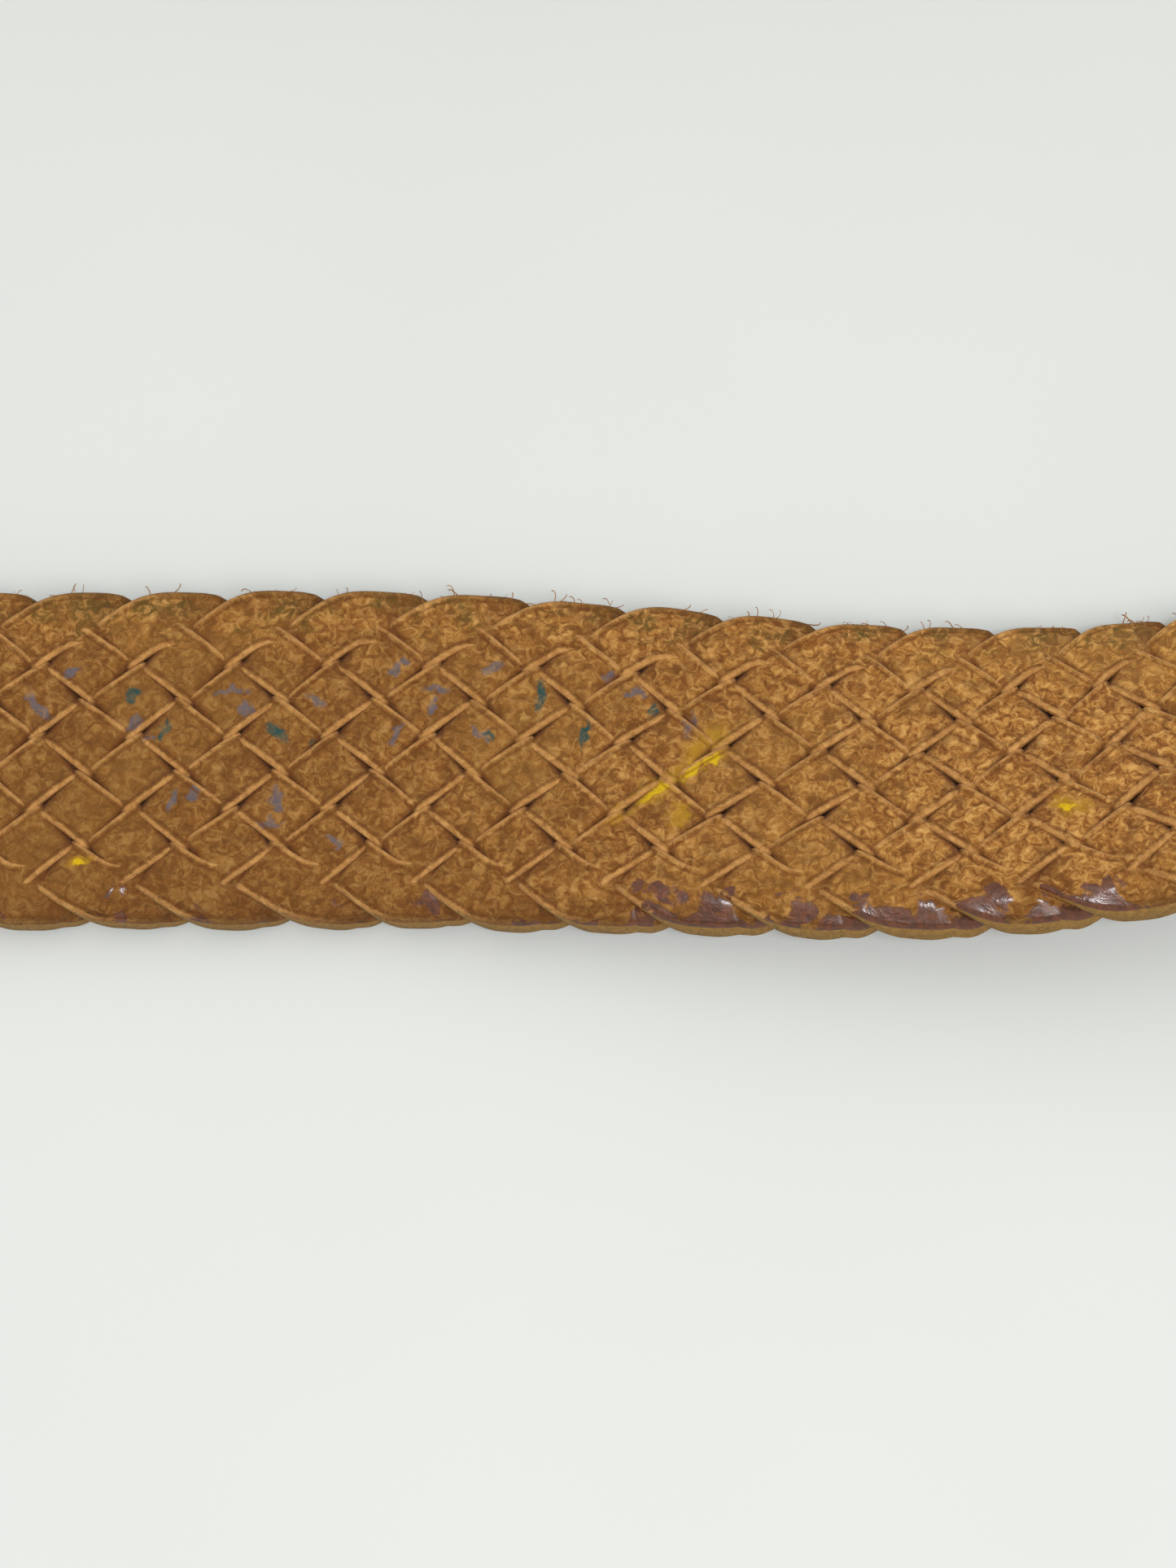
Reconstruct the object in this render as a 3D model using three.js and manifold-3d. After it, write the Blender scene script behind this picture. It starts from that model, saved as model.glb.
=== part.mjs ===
// Plaited leather reins: one closed rein of nine thongs in a flat plait, with a plain leather
// bit end at each side (chape, billet, keepers and buckle). The rein lies flesh side up,
// rises onto its edge, and is put away in a loose coil with the second bit end inside it.
// Millimetres, +Z up. Origin: on the table, under the middle of the front of the coil.

import * as THREE from 'three';
import { mergeVertices } from 'three/addons/utils/BufferGeometryUtils.js';
import Module from 'manifold-3d';

const wasm = await Module();
wasm.setup();

// The plait.
const plaitWidth = 26;
const plaitThickness = 3.6;
const thongCount = 9;
const scallopPitch = 7.2;
const edgeRounding = 1.7;
const thongWidth = 3;
const thongThickness = 1.4;
const thongGap = 0.5;
const crossingFlat = 1.4;
const edgeFlat = 2.6;
const joinStep = 8;
const innerPlaitReach = 160;
const risingStep = 11;

// The coil that the long end is wound into, standing on the rein's edge.
const coilRadius = 142;
const coilStep = 10;
const coilTurns = 2;
const coilPointsPerTurn = 24;
const coilClearance = 0.4;
const coilFaces = 48;

// The bit ends.
const chapeWidth = 25;
const chapeThickness = 2.6;
const chapeSpacing = 1.4;
const chapeFoldLength = 14;
const chapeFoldFaces = 10;
const barDistance = 56;
const billetWidth = 22;
const billetThickness = 3;
const billetReach = 95;
const billetStart = 6;
const billetPoint = 10;
const billetHoles = 4;
const billetHoleRadius = 2.2;
const billetHoleSpacing = 13;
const billetHoleInset = 26;
const crewHoleWidth = 6;
const crewHoleBack = 13;

// The buckle.
const barRadius = 2;
const frameLength = 29;
const frameRim = 4.6;
const frameThickness = 4;
const frameBevel = 0.9;
const frameSideGap = 0.8;
const tongueWidth = 3.6;
const tongueThickness = 2.2;
const tongueEyeWall = 1.7;
const tongueTaper = 6;

// The keepers.
const keeperThickness = 1.6;
const keeperCorner = 2.4;
const keeperInsideCorner = 0.9;
const fixedKeeperWidth = 8;
const fixedKeeperPlace = 34;
const runningKeeperWidth = 10;
const runningKeeperPlace = 12;

// Clearances.
const contactGap = 0.3;
const tableGap = 0.1;
const slideGap = 0.7;
const billetRoom = 3.6;

// The route where the rein isn't coiled. Each point is x, y, the rein's roll about its own line
// in degrees (0 flat with the flesh side up, 90 on its edge), and how far it is lifted above
// lying on the table. The first four points carry the drooping billet.
const restLine = -96;
const lyingPoints = [
  [-223, restLine, 0, -5.2],
  [-212, restLine, 0, -5.2],
  [-201, restLine, 0, -5.2],
  [-190, restLine, 0, -2.5],
  [-179, restLine, 0, 2.3],
  [-169, restLine, 0, 5.7],
  [-159, restLine, 0, 6.8],
  [-147, restLine, 0, 6.8],
  [-128, restLine, 0, 6.8],
  [-106, restLine, 0, 6.8],
  [-88, restLine, 0, 6.8],
  [-74, restLine, 0, 6.2],
  [-62, restLine, 0, 3.4],
  [-52, restLine, 0, 0.9],
  [-43, restLine, 0, 0],
  [-28, restLine, 0, 0],
  [-14, restLine, 0.5, 0],
  [0, restLine - 0.9, 5, 0],
  [14, restLine - 2.1, 10.5, 0],
  [28, restLine - 2.7, 14.5, 0],
  [42, restLine - 1.8, 20, 0],
  [58, restLine + 1.7, 28, 0],
  [76, restLine + 9.5, 39, 0],
  [94, restLine + 22, 51, 0],
  [109, restLine + 38.5, 63, 0],
  [121, restLine + 58, 75, 0],
  [130, restLine + 81, 84, 0],
  [136, restLine + 106, 90, 0],
  [139.5, restLine + 134, 90, 0],
  [141.5, restLine + 164, 90, 0],
  [142, restLine + 196, 90, 0],
];
// The same for the end inside the coil, with the lift that its buckle gives it.
const innerPoints = [
  [116.5, 161, 90, 0],
  [102.5, 186.5, 90, 0.6],
  [84, 203, 90, 2.2],
  [60.5, 213.8, 90, 4.3],
  [37, 218, 90, 5.4],
  [18, 218, 90, 5.4],
  [0, 218, 90, 5.4],
  [-19, 218, 90, 5.4],
  [-38, 218, 90, 5.4],
  [-50, 218, 90, 5.2],
  [-64, 215.5, 90, 4.8],
  [-76, 209, 90, 4.5],
  [-86, 200, 90, 4.3],
  [-93.5, 189.25, 90, 3.9],
  [-101, 178.5, 90, 3.5],
];
const plaitStart = [-72, restLine];
const plaitEnd = [37, 218];
const thongsEnd = [46, restLine - 1];

const fleshLeather = new THREE.MeshStandardMaterial({ color: 0x9a6c3c, roughness: 0.9, metalness: 0 });
const grainLeather = new THREE.MeshStandardMaterial({ color: 0x4c2a1c, roughness: 0.45, metalness: 0 });
const buckleSteel = new THREE.MeshStandardMaterial({ color: 0xb9b8b2, roughness: 0.25, metalness: 1 });

const rad = THREE.MathUtils.degToRad;
const crossingPitch = scallopPitch / 2;
const crossingSpan = thongCount * crossingPitch;
// The rise of a thong across the plait for each millimetre along it.
const thongSlope = (plaitWidth / 2 + thongGap / 2 - thongWidth / 2) / (crossingSpan / 2 - edgeRounding);
const coilCentre = [0, coilRadius - (coilStep * coilTurns) / 2];

// How high the rein's middle is when it rests on the table at a given roll.
function restingHeight(roll) {
  const half = (plaitWidth / 2) * Math.sin(rad(roll)) + (plaitThickness / 2) * Math.cos(rad(roll));
  return tableGap + half;
}

function coilPoints() {
  const points = [];
  for (let i = 0; i <= coilTurns * coilPointsPerTurn; i++) {
    const turn = i / coilPointsPerTurn;
    const radius = coilRadius - coilStep * turn;
    const angle = 2 * Math.PI * turn;
    const x = coilCentre[0] + radius * Math.cos(angle);
    const y = coilCentre[1] + radius * Math.sin(angle);
    points.push([x, y, 90, 0]);
  }
  return points;
}

// The whole rein's centreline, from the tip of one billet to the tip of the other, as a table of
// stations: place, direction along, across (to the left) and out of the flesh side.
function makeRoute() {
  const stepsPerSpan = 16;
  const points = [...lyingPoints, ...coilPoints(), ...innerPoints];
  const places = points.map(([x, y, roll, lift]) => new THREE.Vector3(x, y, restingHeight(roll) + lift));
  const rolls = points.map((p) => new THREE.Vector3(p[2], 0, 0));
  const line = new THREE.CatmullRomCurve3(places, false, 'catmullrom', 0.5);
  const turned = new THREE.CatmullRomCurve3(rolls, false, 'catmullrom', 0.5);
  const steps = (points.length - 1) * stepsPerSpan;
  const stations = [];
  let distance = 0;
  for (let i = 0; i <= steps; i++) {
    const place = line.getPoint(i / steps);
    const along = line.getTangent(i / steps);
    const level = new THREE.Vector3(0, 0, 1).cross(along).normalize();
    const up = along.clone().cross(level);
    const roll = rad(turned.getPoint(i / steps).x);
    const across = level.clone().multiplyScalar(Math.cos(roll)).addScaledVector(up, -Math.sin(roll));
    const out = along.clone().cross(across);
    if (i > 0) distance += place.distanceTo(stations[i - 1].place);
    stations.push({ distance, place, along, across, out });
  }
  return stations;
}

const route = makeRoute();

// The distance along the route that is nearest to a place on the table.
function distanceAt([x, y]) {
  const gap = (s) => Math.hypot(s.place.x - x, s.place.y - y);
  return route.reduce((best, s) => (gap(s) < gap(best) ? s : best)).distance;
}

function stationAt(distance) {
  let low = 0;
  let high = route.length - 1;
  while (high - low > 1) {
    const middle = (low + high) >> 1;
    if (route[middle].distance > distance) high = middle;
    else low = middle;
  }
  const a = route[low];
  const b = route[high];
  const share = (distance - a.distance) / (b.distance - a.distance);
  const mix = (key) => a[key].clone().lerp(b[key], share);
  return { place: mix('place'), along: mix('along'), across: mix('across'), out: mix('out') };
}

// A point on the rein: so far along its route, across it, and out of its flesh side.
function onRein(distance, across, out) {
  const s = stationAt(distance);
  return s.place.addScaledVector(s.across, across).addScaledVector(s.out, out);
}

// A flat strip with one section per station. toPlace(station, across, out) gives each corner.
function ribbon(stations, toPlace) {
  const geometry = new THREE.BoxGeometry(1, 1, 1, stations.length - 1, 1, 1);
  const position = geometry.getAttribute('position');
  for (let i = 0; i < position.count; i++) {
    const index = Math.round((position.getX(i) + 0.5) * (stations.length - 1));
    const corner = toPlace(stations[index], 2 * position.getY(i), 2 * position.getZ(i));
    position.setXYZ(i, corner.x, corner.y, corner.z);
  }
  return welded(geometry);
}

function welded(geometry) {
  const bare = geometry.index ? geometry.toNonIndexed() : geometry.clone();
  for (const name of Object.keys(bare.attributes)) {
    if (name !== 'position') bare.deleteAttribute(name);
  }
  return mergeVertices(bare, 1e-4);
}

function solid(geometry) {
  const closed = welded(geometry);
  const vertProperties = new Float32Array(closed.getAttribute('position').array);
  const triVerts = new Uint32Array(closed.index.array);
  return new wasm.Manifold(new wasm.Mesh({ numProp: 3, vertProperties, triVerts }));
}

function surface(body) {
  const mesh = body.getMesh();
  const geometry = new THREE.BufferGeometry();
  geometry.setAttribute('position', new THREE.BufferAttribute(new Float32Array(mesh.vertProperties), 3));
  geometry.setIndex(new THREE.BufferAttribute(new Uint32Array(mesh.triVerts), 1));
  return geometry;
}

function named(name, geometry, material) {
  geometry.computeVertexNormals();
  const mesh = new THREE.Mesh(geometry, material);
  mesh.name = name;
  return mesh;
}

function spaced(start, end, step) {
  const count = Math.max(1, Math.round((end - start) / step));
  return Array.from({ length: count + 1 }, (_, i) => start + ((end - start) * i) / count);
}

// ---- the plait

// A thong's place across the plait, by its distance from its last turn at the edge.
function thongAcross(fromTurn) {
  const rounded = (d) => (d ** 4 + edgeRounding ** 4) ** 0.25;
  const middle = crossingSpan / 2;
  if (fromTurn <= middle) return thongSlope * (middle - rounded(fromTurn));
  return -thongSlope * (middle - rounded(crossingSpan - fromTurn));
}

// How far over (1) or under (-1) the others a thong runs, by its distance from its last turn.
// It arrives at each edge on top of its neighbour and leaves beneath the next one.
function thongLevel(fromTurn) {
  const nearest = THREE.MathUtils.clamp(Math.round(fromTurn / crossingPitch), 1, thongCount - 1);
  const past = fromTurn - nearest * crossingPitch;
  const level = nearest % 2 ? -1 : 1;
  if (Math.abs(past) <= crossingFlat) return level;
  const atTurn = (nearest === 1 && past < 0) || (nearest === thongCount - 1 && past > 0);
  const middle = atTurn ? crossingPitch : crossingPitch / 2;
  const flat = atTurn ? edgeFlat : crossingFlat;
  return level * Math.min(1, (middle - Math.abs(past)) / (middle - flat));
}

// One thong of the lying stretch, as a strip that zigzags across the plait.
function thong(index, start, end) {
  const firstTurn = start - 2 * crossingSpan + index * scallopPitch;
  const breaks = [];
  for (let turn = firstTurn; turn < end; turn += crossingSpan) {
    breaks.push(turn - crossingPitch + edgeFlat, turn + crossingPitch - edgeFlat);
    for (let k = 1; k < thongCount; k++) {
      const crossing = turn + k * crossingPitch;
      breaks.push(crossing - crossingFlat, crossing + crossingFlat);
    }
  }
  const inside = breaks.filter((d) => d > start + 0.2 && d < end - 0.2).sort((a, b) => a - b);
  const spot = (distance) => {
    const spans = Math.floor((distance - firstTurn) / crossingSpan);
    const fromTurn = distance - firstTurn - spans * crossingSpan;
    const across = thongAcross(fromTurn) * (spans % 2 ? -1 : 1);
    return { distance, across, out: (thongLevel(fromTurn) * (thongThickness + thongGap)) / 2 };
  };
  const line = [start, ...inside, end].map(spot);
  for (const p of line) {
    const ahead = spot(p.distance + 0.05);
    const behind = spot(p.distance - 0.05);
    p.way = new THREE.Vector2(ahead.distance - behind.distance, ahead.across - behind.across).normalize();
  }
  return ribbon(line, (p, side, face) => onRein(
    p.distance - (p.way.y * side * thongWidth) / 2,
    p.across + (p.way.x * side * thongWidth) / 2,
    p.out + (face * thongThickness) / 2,
  ));
}

// The plait as one plain strip, where it leaves the table and where it leaves the coil.
function plainPlait(start, end, step) {
  const stations = spaced(start, end, step).map((distance) => ({ distance }));
  return ribbon(stations, (s, side, face) =>
    onRein(s.distance, (side * plaitWidth) / 2, (face * plaitThickness) / 2));
}

// The outer shape of the coil: a ring as high as the rein is wide.
function coilRing() {
  const outer = coilRadius + plaitThickness / 2;
  const inner = coilRadius - coilStep * coilTurns - plaitThickness / 2;
  const section = [[inner, 0], [outer, 0], [outer, plaitWidth], [inner, plaitWidth], [inner, 0]];
  const ring = new THREE.LatheGeometry(section.map(([r, z]) => new THREE.Vector2(r, z)), coilFaces);
  ring.rotateX(Math.PI / 2);
  ring.translate(coilCentre[0], coilCentre[1], 0);
  return ring;
}

// ---- the bit ends
// Each is made in its own frame: x outward from the plait, z out of the flesh side.

function inEnd(end, x, y, z) {
  return onRein(end.distance + end.way * x, end.way * y, z);
}

// A leather strip that follows a line in the end's x and z.
function endStrip(end, line, width, thickness) {
  const stations = line.map(([x, z], i) => {
    const [bx, bz] = line[Math.max(i - 1, 0)];
    const [ax, az] = line[Math.min(i + 1, line.length - 1)];
    return { x, z, way: new THREE.Vector2(ax - bx, az - bz).normalize(), width: width(x) };
  });
  return ribbon(stations, (s, side, face) => inEnd(
    end,
    s.x - (s.way.y * face * thickness) / 2,
    (side * s.width) / 2,
    s.z + (s.way.x * face * thickness) / 2,
  ));
}

// The rigid placement of a piece that is made about a point x along the end.
function placement(end, x) {
  const at = stationAt(end.distance + end.way * x);
  const outward = at.along.clone().multiplyScalar(end.way);
  const across = at.across.clone().multiplyScalar(end.way);
  return new THREE.Matrix4().makeBasis(outward, across, at.out).setPosition(at.place);
}

function cutter(end, x, geometry) {
  return solid(geometry.applyMatrix4(placement(end, x)));
}

const plySpread = (chapeSpacing + chapeThickness) / 2;
const foldRadius = barRadius + contactGap + chapeThickness / 2;
const barDepth = plySpread - foldRadius;
const billetDepth = plySpread + chapeThickness / 2 + contactGap + billetThickness / 2;
const eyeRadius = barRadius + contactGap + tongueEyeWall;

// The plain end of the rein: two plies that hold the thongs between them and fold round the
// buckle's bar, with a crew hole for the tongue.
function chape(end) {
  const fold = [];
  for (let i = 0; i <= chapeFoldFaces; i++) {
    const angle = -Math.PI / 2 + (Math.PI * i) / chapeFoldFaces;
    fold.push([barDistance + foldRadius * Math.cos(angle), barDepth + foldRadius * Math.sin(angle)]);
  }
  const foldStart = barDistance - chapeFoldLength;
  const grainSide = spaced(contactGap, foldStart, 6).map((x) => [x, -plySpread]);
  const foldDrop = foldRadius - barDepth - plySpread;
  grainSide.push([foldStart + chapeFoldLength * 0.3, -plySpread - foldDrop * 0.15]);
  grainSide.push([foldStart + chapeFoldLength * 0.65, -plySpread - foldDrop * 0.8]);
  const fleshSide = spaced(contactGap, foldStart + chapeFoldLength * 0.65, 6).map((x) => [x, plySpread]);
  fleshSide.reverse();
  const strip = endStrip(end, [...grainSide, ...fold, ...fleshSide], () => chapeWidth, chapeThickness);
  const holeFront = foldRadius + chapeThickness + contactGap;
  const hole = new THREE.BoxGeometry(crewHoleBack + holeFront, crewHoleWidth, 4 * foldRadius);
  hole.translate((holeFront - crewHoleBack) / 2, 0, barDepth);
  return surface(solid(strip).subtract(cutter(end, barDistance, hole)));
}

// The point strap: sewn to the flesh side of the chape, it goes round the bit and back
// through the buckle, and has a row of holes for the tongue.
function billet(end) {
  const tip = barDistance + billetReach;
  const line = [...spaced(billetStart, tip - billetPoint, 4), tip - billetPoint * 0.5, tip - 1, tip];
  const bluntTip = 0.6;
  const width = (x) => {
    const left = Math.max(tip - x, bluntTip) / billetPoint;
    return left >= 1 ? billetWidth : billetWidth * Math.sin((Math.PI / 2) * left);
  };
  let strap = solid(endStrip(end, line.map((x) => [x, billetDepth]), width, billetThickness));
  for (let i = 0; i < billetHoles; i++) {
    const hole = new THREE.CylinderGeometry(billetHoleRadius, billetHoleRadius, 4 * billetThickness, 16);
    hole.rotateX(Math.PI / 2).translate(0, 0, billetDepth);
    strap = strap.subtract(cutter(end, tip - billetHoleInset - i * billetHoleSpacing, hole));
  }
  return surface(strap);
}

// A rectangle with round corners, as a closed outline.
function roundedRectangle(outline, x0, y0, x1, y1, radius) {
  outline.moveTo(x0 + radius, y0);
  outline.lineTo(x1 - radius, y0).absarc(x1 - radius, y0 + radius, radius, -Math.PI / 2, 0);
  outline.lineTo(x1, y1 - radius).absarc(x1 - radius, y1 - radius, radius, 0, Math.PI / 2);
  outline.lineTo(x0 + radius, y1).absarc(x0 + radius, y1 - radius, radius, Math.PI / 2, Math.PI);
  outline.lineTo(x0, y0 + radius).absarc(x0 + radius, y0 + radius, radius, Math.PI, 1.5 * Math.PI);
  return outline;
}

// The buckle's frame, about its bar: a cast rim with a round bar across its heel.
function buckleFrame() {
  const half = chapeWidth / 2 + frameSideGap;
  const outer = roundedRectangle(new THREE.Shape(), -frameRim / 2, -half - frameRim,
    frameLength - frameRim / 2, half + frameRim, frameRim * 0.9);
  const toe = frameLength - 1.5 * frameRim;
  outer.holes.push(roundedRectangle(new THREE.Path(), frameRim / 2, -half, toe, half, frameRim * 0.5));
  const rim = new THREE.ExtrudeGeometry(outer, {
    depth: frameThickness - 2 * frameBevel,
    bevelThickness: frameBevel,
    bevelSize: frameBevel,
    bevelOffset: -frameBevel,
    bevelSegments: 1,
    curveSegments: 4,
  });
  rim.translate(0, 0, frameBevel - frameThickness / 2);
  const heel = new THREE.BoxGeometry(3 * frameRim, 2 * half, 2 * frameThickness);
  const bar = new THREE.CylinderGeometry(barRadius, barRadius, 2 * half + frameRim, 24);
  return surface(solid(rim).subtract(solid(heel)).add(solid(bar)));
}

// The tongue, about the bar: an eye that turns on the bar and a shaft that rests on the toe.
function buckleTongue() {
  const inner = barRadius + contactGap;
  const ring = [[inner, -tongueWidth / 2], [eyeRadius, -tongueWidth / 2], [eyeRadius, tongueWidth / 2],
    [inner, tongueWidth / 2], [inner, -tongueWidth / 2]];
  const eye = new THREE.LatheGeometry(ring.map(([r, y]) => new THREE.Vector2(r, y)), 24);
  const top = -frameThickness / 2 - contactGap;
  const reach = frameLength - frameRim / 2;
  const side = new THREE.Shape();
  side.moveTo(0, -inner - 0.1);
  side.lineTo(inner, top + 0.4);
  side.lineTo(reach - 1, top);
  side.quadraticCurveTo(reach + 1.2, top - 0.3, reach + 1, top - tongueThickness * 0.7);
  side.quadraticCurveTo(reach - 2, top - tongueThickness, reach - tongueTaper, top - tongueThickness);
  side.lineTo(inner, -eyeRadius);
  side.lineTo(0, -eyeRadius);
  const thick = { depth: tongueWidth, bevelEnabled: false, curveSegments: 4 };
  const shaft = new THREE.ExtrudeGeometry(side, thick);
  shaft.rotateX(Math.PI / 2).translate(0, tongueWidth / 2, 0);
  return surface(solid(eye).add(solid(shaft)));
}

// A leather band round the chape and billet, with room on the grain side for the billet's point.
function keeper(width) {
  const halfInside = chapeWidth / 2 + slideGap;
  const flesh = billetDepth + billetThickness / 2 + slideGap;
  const grain = -(plySpread + chapeThickness / 2 + billetRoom);
  const t = keeperThickness;
  const half = halfInside + t;
  const band = roundedRectangle(new THREE.Shape(), -half, grain - t, half, flesh + t, keeperCorner);
  const inside = new THREE.Path();
  band.holes.push(roundedRectangle(inside, -halfInside, grain, halfInside, flesh, keeperInsideCorner));
  const loop = new THREE.ExtrudeGeometry(band, { depth: width, bevelEnabled: false, curveSegments: 4 });
  loop.applyMatrix4(new THREE.Matrix4().makeBasis(
    new THREE.Vector3(0, 1, 0), new THREE.Vector3(0, 0, 1), new THREE.Vector3(1, 0, 0)));
  return welded(loop);
}

function bitEnd(end) {
  const buckle = new THREE.Group();
  const bar = new THREE.Matrix4().makeTranslation(0, 0, barDepth);
  buckle.applyMatrix4(placement(end, barDistance).multiply(bar));
  buckle.add(
    named(`${end.name}_buckle_frame`, buckleFrame(), buckleSteel),
    named(`${end.name}_buckle_tongue`, buckleTongue(), buckleSteel),
  );
  const fixed = new THREE.Group();
  fixed.applyMatrix4(placement(end, fixedKeeperPlace));
  fixed.add(named(`${end.name}_fixed_keeper`, keeper(fixedKeeperWidth), grainLeather));
  const running = new THREE.Group();
  running.applyMatrix4(placement(end, runningKeeperPlace));
  running.add(named(`${end.name}_running_keeper`, keeper(runningKeeperWidth), grainLeather));
  return [
    named(`${end.name}_chape`, chape(end), grainLeather),
    named(`${end.name}_billet`, billet(end), grainLeather),
    buckle, fixed, running,
  ];
}

// ---- the object

// How far before and after the coil the plain plait has to stop to stay clear of the ring.
function ringClearance() {
  const outer = coilRadius + plaitThickness / 2;
  return Math.sqrt((outer + coilClearance) ** 2 - (coilRadius - plaitThickness / 2) ** 2) + 2;
}

// The first place past the coil where the inner end is clear of the ring's inside.
function leavesRing(from) {
  const inside = coilRadius - coilStep * coilTurns - plaitThickness / 2 - coilClearance;
  const fromCentre = (s) => Math.hypot(s.place.x - coilCentre[0], s.place.y - coilCentre[1]);
  return route.find((s) => s.distance > from && fromCentre(s) + plaitThickness / 2 < inside).distance;
}

const outerEnd = { name: 'outer', distance: distanceAt(plaitStart), way: -1 };
const innerEnd = { name: 'inner', distance: distanceAt(plaitEnd), way: 1 };
const liftOff = distanceAt(thongsEnd);
const coilStart = distanceAt([coilRadius, coilCentre[1] - 2]);

const reins = new THREE.Group();
reins.name = 'plaited_reins';
const cutLength = contactGap + (thongSlope * thongWidth) / 2;
for (let i = 0; i < thongCount; i++) {
  const strip = thong(i, outerEnd.distance + cutLength, liftOff - cutLength);
  reins.add(named(`thong_${i + 1}`, strip, fleshLeather));
}
const risingPlait = plainPlait(liftOff + contactGap, coilStart - ringClearance(), risingStep);
const innerStart = leavesRing(innerEnd.distance - innerPlaitReach);
const innerPlait = plainPlait(innerStart, innerEnd.distance - contactGap, joinStep);
reins.add(
  named('rising_plait', risingPlait, fleshLeather),
  named('coiled_plait', coilRing(), fleshLeather),
  named('inner_plait', innerPlait, fleshLeather),
  ...bitEnd(outerEnd),
  ...bitEnd(innerEnd),
);

export default reins;
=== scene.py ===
# Plaited leather reins, flesh side up on a pale table. Metres, in the part's own frame.
import math
import bpy
import numpy as np
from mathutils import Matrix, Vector


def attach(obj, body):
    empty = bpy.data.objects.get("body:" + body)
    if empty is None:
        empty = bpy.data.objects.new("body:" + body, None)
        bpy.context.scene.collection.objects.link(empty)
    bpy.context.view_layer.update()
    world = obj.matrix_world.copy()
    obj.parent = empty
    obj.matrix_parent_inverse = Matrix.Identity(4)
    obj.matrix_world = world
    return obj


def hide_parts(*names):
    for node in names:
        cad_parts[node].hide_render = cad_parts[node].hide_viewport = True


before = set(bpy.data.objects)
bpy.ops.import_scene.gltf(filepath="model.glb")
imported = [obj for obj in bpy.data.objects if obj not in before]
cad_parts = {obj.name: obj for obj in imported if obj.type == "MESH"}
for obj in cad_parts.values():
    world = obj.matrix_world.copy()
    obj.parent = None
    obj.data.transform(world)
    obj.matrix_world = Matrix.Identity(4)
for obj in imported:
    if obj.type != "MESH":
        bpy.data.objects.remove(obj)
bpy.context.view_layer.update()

mm = 0.001


# ---- small helpers

def linear(hexColour):
    parts = [int(hexColour[i:i + 2], 16) / 255 for i in (1, 3, 5)]
    return [c / 12.92 if c <= 0.04045 else ((c + 0.055) / 1.055) ** 2.4 for c in parts] + [1.0]


def add(tree, kind, inputs=None, **settings):
    node = tree.nodes.new(kind)
    for name, value in settings.items():
        setattr(node, name, value)
    for key, value in (inputs or {}).items():
        if isinstance(value, bpy.types.NodeSocket):
            tree.links.new(value, node.inputs[key])
        else:
            node.inputs[key].default_value = value
    return node


def smooth(low, high, value):
    t = np.clip((value - low) / (high - low), 0, 1)
    return t * t * (3 - 2 * t)


def newMaterial(name):
    material = bpy.data.materials.new(name)
    material.use_nodes = True
    return material, material.node_tree, material.node_tree.nodes["Principled BSDF"]


def noise(tree, place, size, detail=3, roughness=0.5, distortion=0.0):
    return add(tree, "ShaderNodeTexNoise", {
        "Vector": place, "Scale": 1 / size, "Detail": detail,
        "Roughness": roughness, "Distortion": distortion}).outputs["Fac"]


def ramp(tree, value, *stops):
    node = add(tree, "ShaderNodeValToRGB", {"Fac": value})
    elements = node.color_ramp.elements
    elements[0].position, elements[0].color = stops[0][0], linear(stops[0][1])
    elements[1].position, elements[1].color = stops[-1][0], linear(stops[-1][1])
    for position, colour in stops[1:-1]:
        elements.new(position).color = linear(colour)
    return node.outputs["Color"]


def mixed(tree, factor, a, b):
    node = add(tree, "ShaderNodeMix", data_type="RGBA")
    for key, value in ((0, factor), (6, a), (7, b)):
        if isinstance(value, bpy.types.NodeSocket):
            tree.links.new(value, node.inputs[key])
        else:
            node.inputs[key].default_value = linear(value) if isinstance(value, str) else value
    return node.outputs[2]


def sums(tree, operation, a, b=None):
    inputs = {0: a} if b is None else {0: a, 1: b}
    return add(tree, "ShaderNodeMath", inputs, operation=operation).outputs[0]


def times(tree, a, b):
    return sums(tree, "MULTIPLY", a, b)


def between(tree, value, low, high):
    node = add(tree, "ShaderNodeMapRange", {"Value": value, "From Min": low, "From Max": high})
    node.interpolation_type = "SMOOTHSTEP"
    return node.outputs["Result"]


def rescaled(tree, value, low, high):
    return add(tree, "ShaderNodeMapRange", {"Value": value, "To Min": low, "To Max": high}).outputs["Result"]


def surfacePlace(tree, name):
    place = add(tree, "ShaderNodeAttribute", attribute_name=name).outputs["Vector"]
    split = add(tree, "ShaderNodeSeparateXYZ", {"Vector": place})
    return split.outputs


def bumped(tree, height, distance, strength=1.0, normal=None):
    inputs = {"Height": height, "Distance": distance, "Strength": strength}
    if normal is not None:
        inputs["Normal"] = normal
    return add(tree, "ShaderNodeBump", inputs).outputs["Normal"]


# ---- camera, light and table

view = {
    "target": (0.0, -0.0978, 0.0018),
    "elevation": 71,
    "distance": 0.30,
    "width": 0.0867,
}


def makeCamera():
    data = bpy.data.cameras.new("camera")
    data.sensor_fit = "HORIZONTAL"
    data.lens = data.sensor_width * view["distance"] / view["width"]
    data.clip_start = 0.01
    camera = bpy.data.objects.new("camera", data)
    up = math.radians(view["elevation"])
    target = Vector(view["target"])
    camera.location = target + view["distance"] * Vector((0, -math.cos(up), math.sin(up)))
    camera.rotation_euler = (target - camera.location).to_track_quat("-Z", "Y").to_euler()
    bpy.context.scene.collection.objects.link(camera)
    bpy.context.scene.camera = camera


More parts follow.
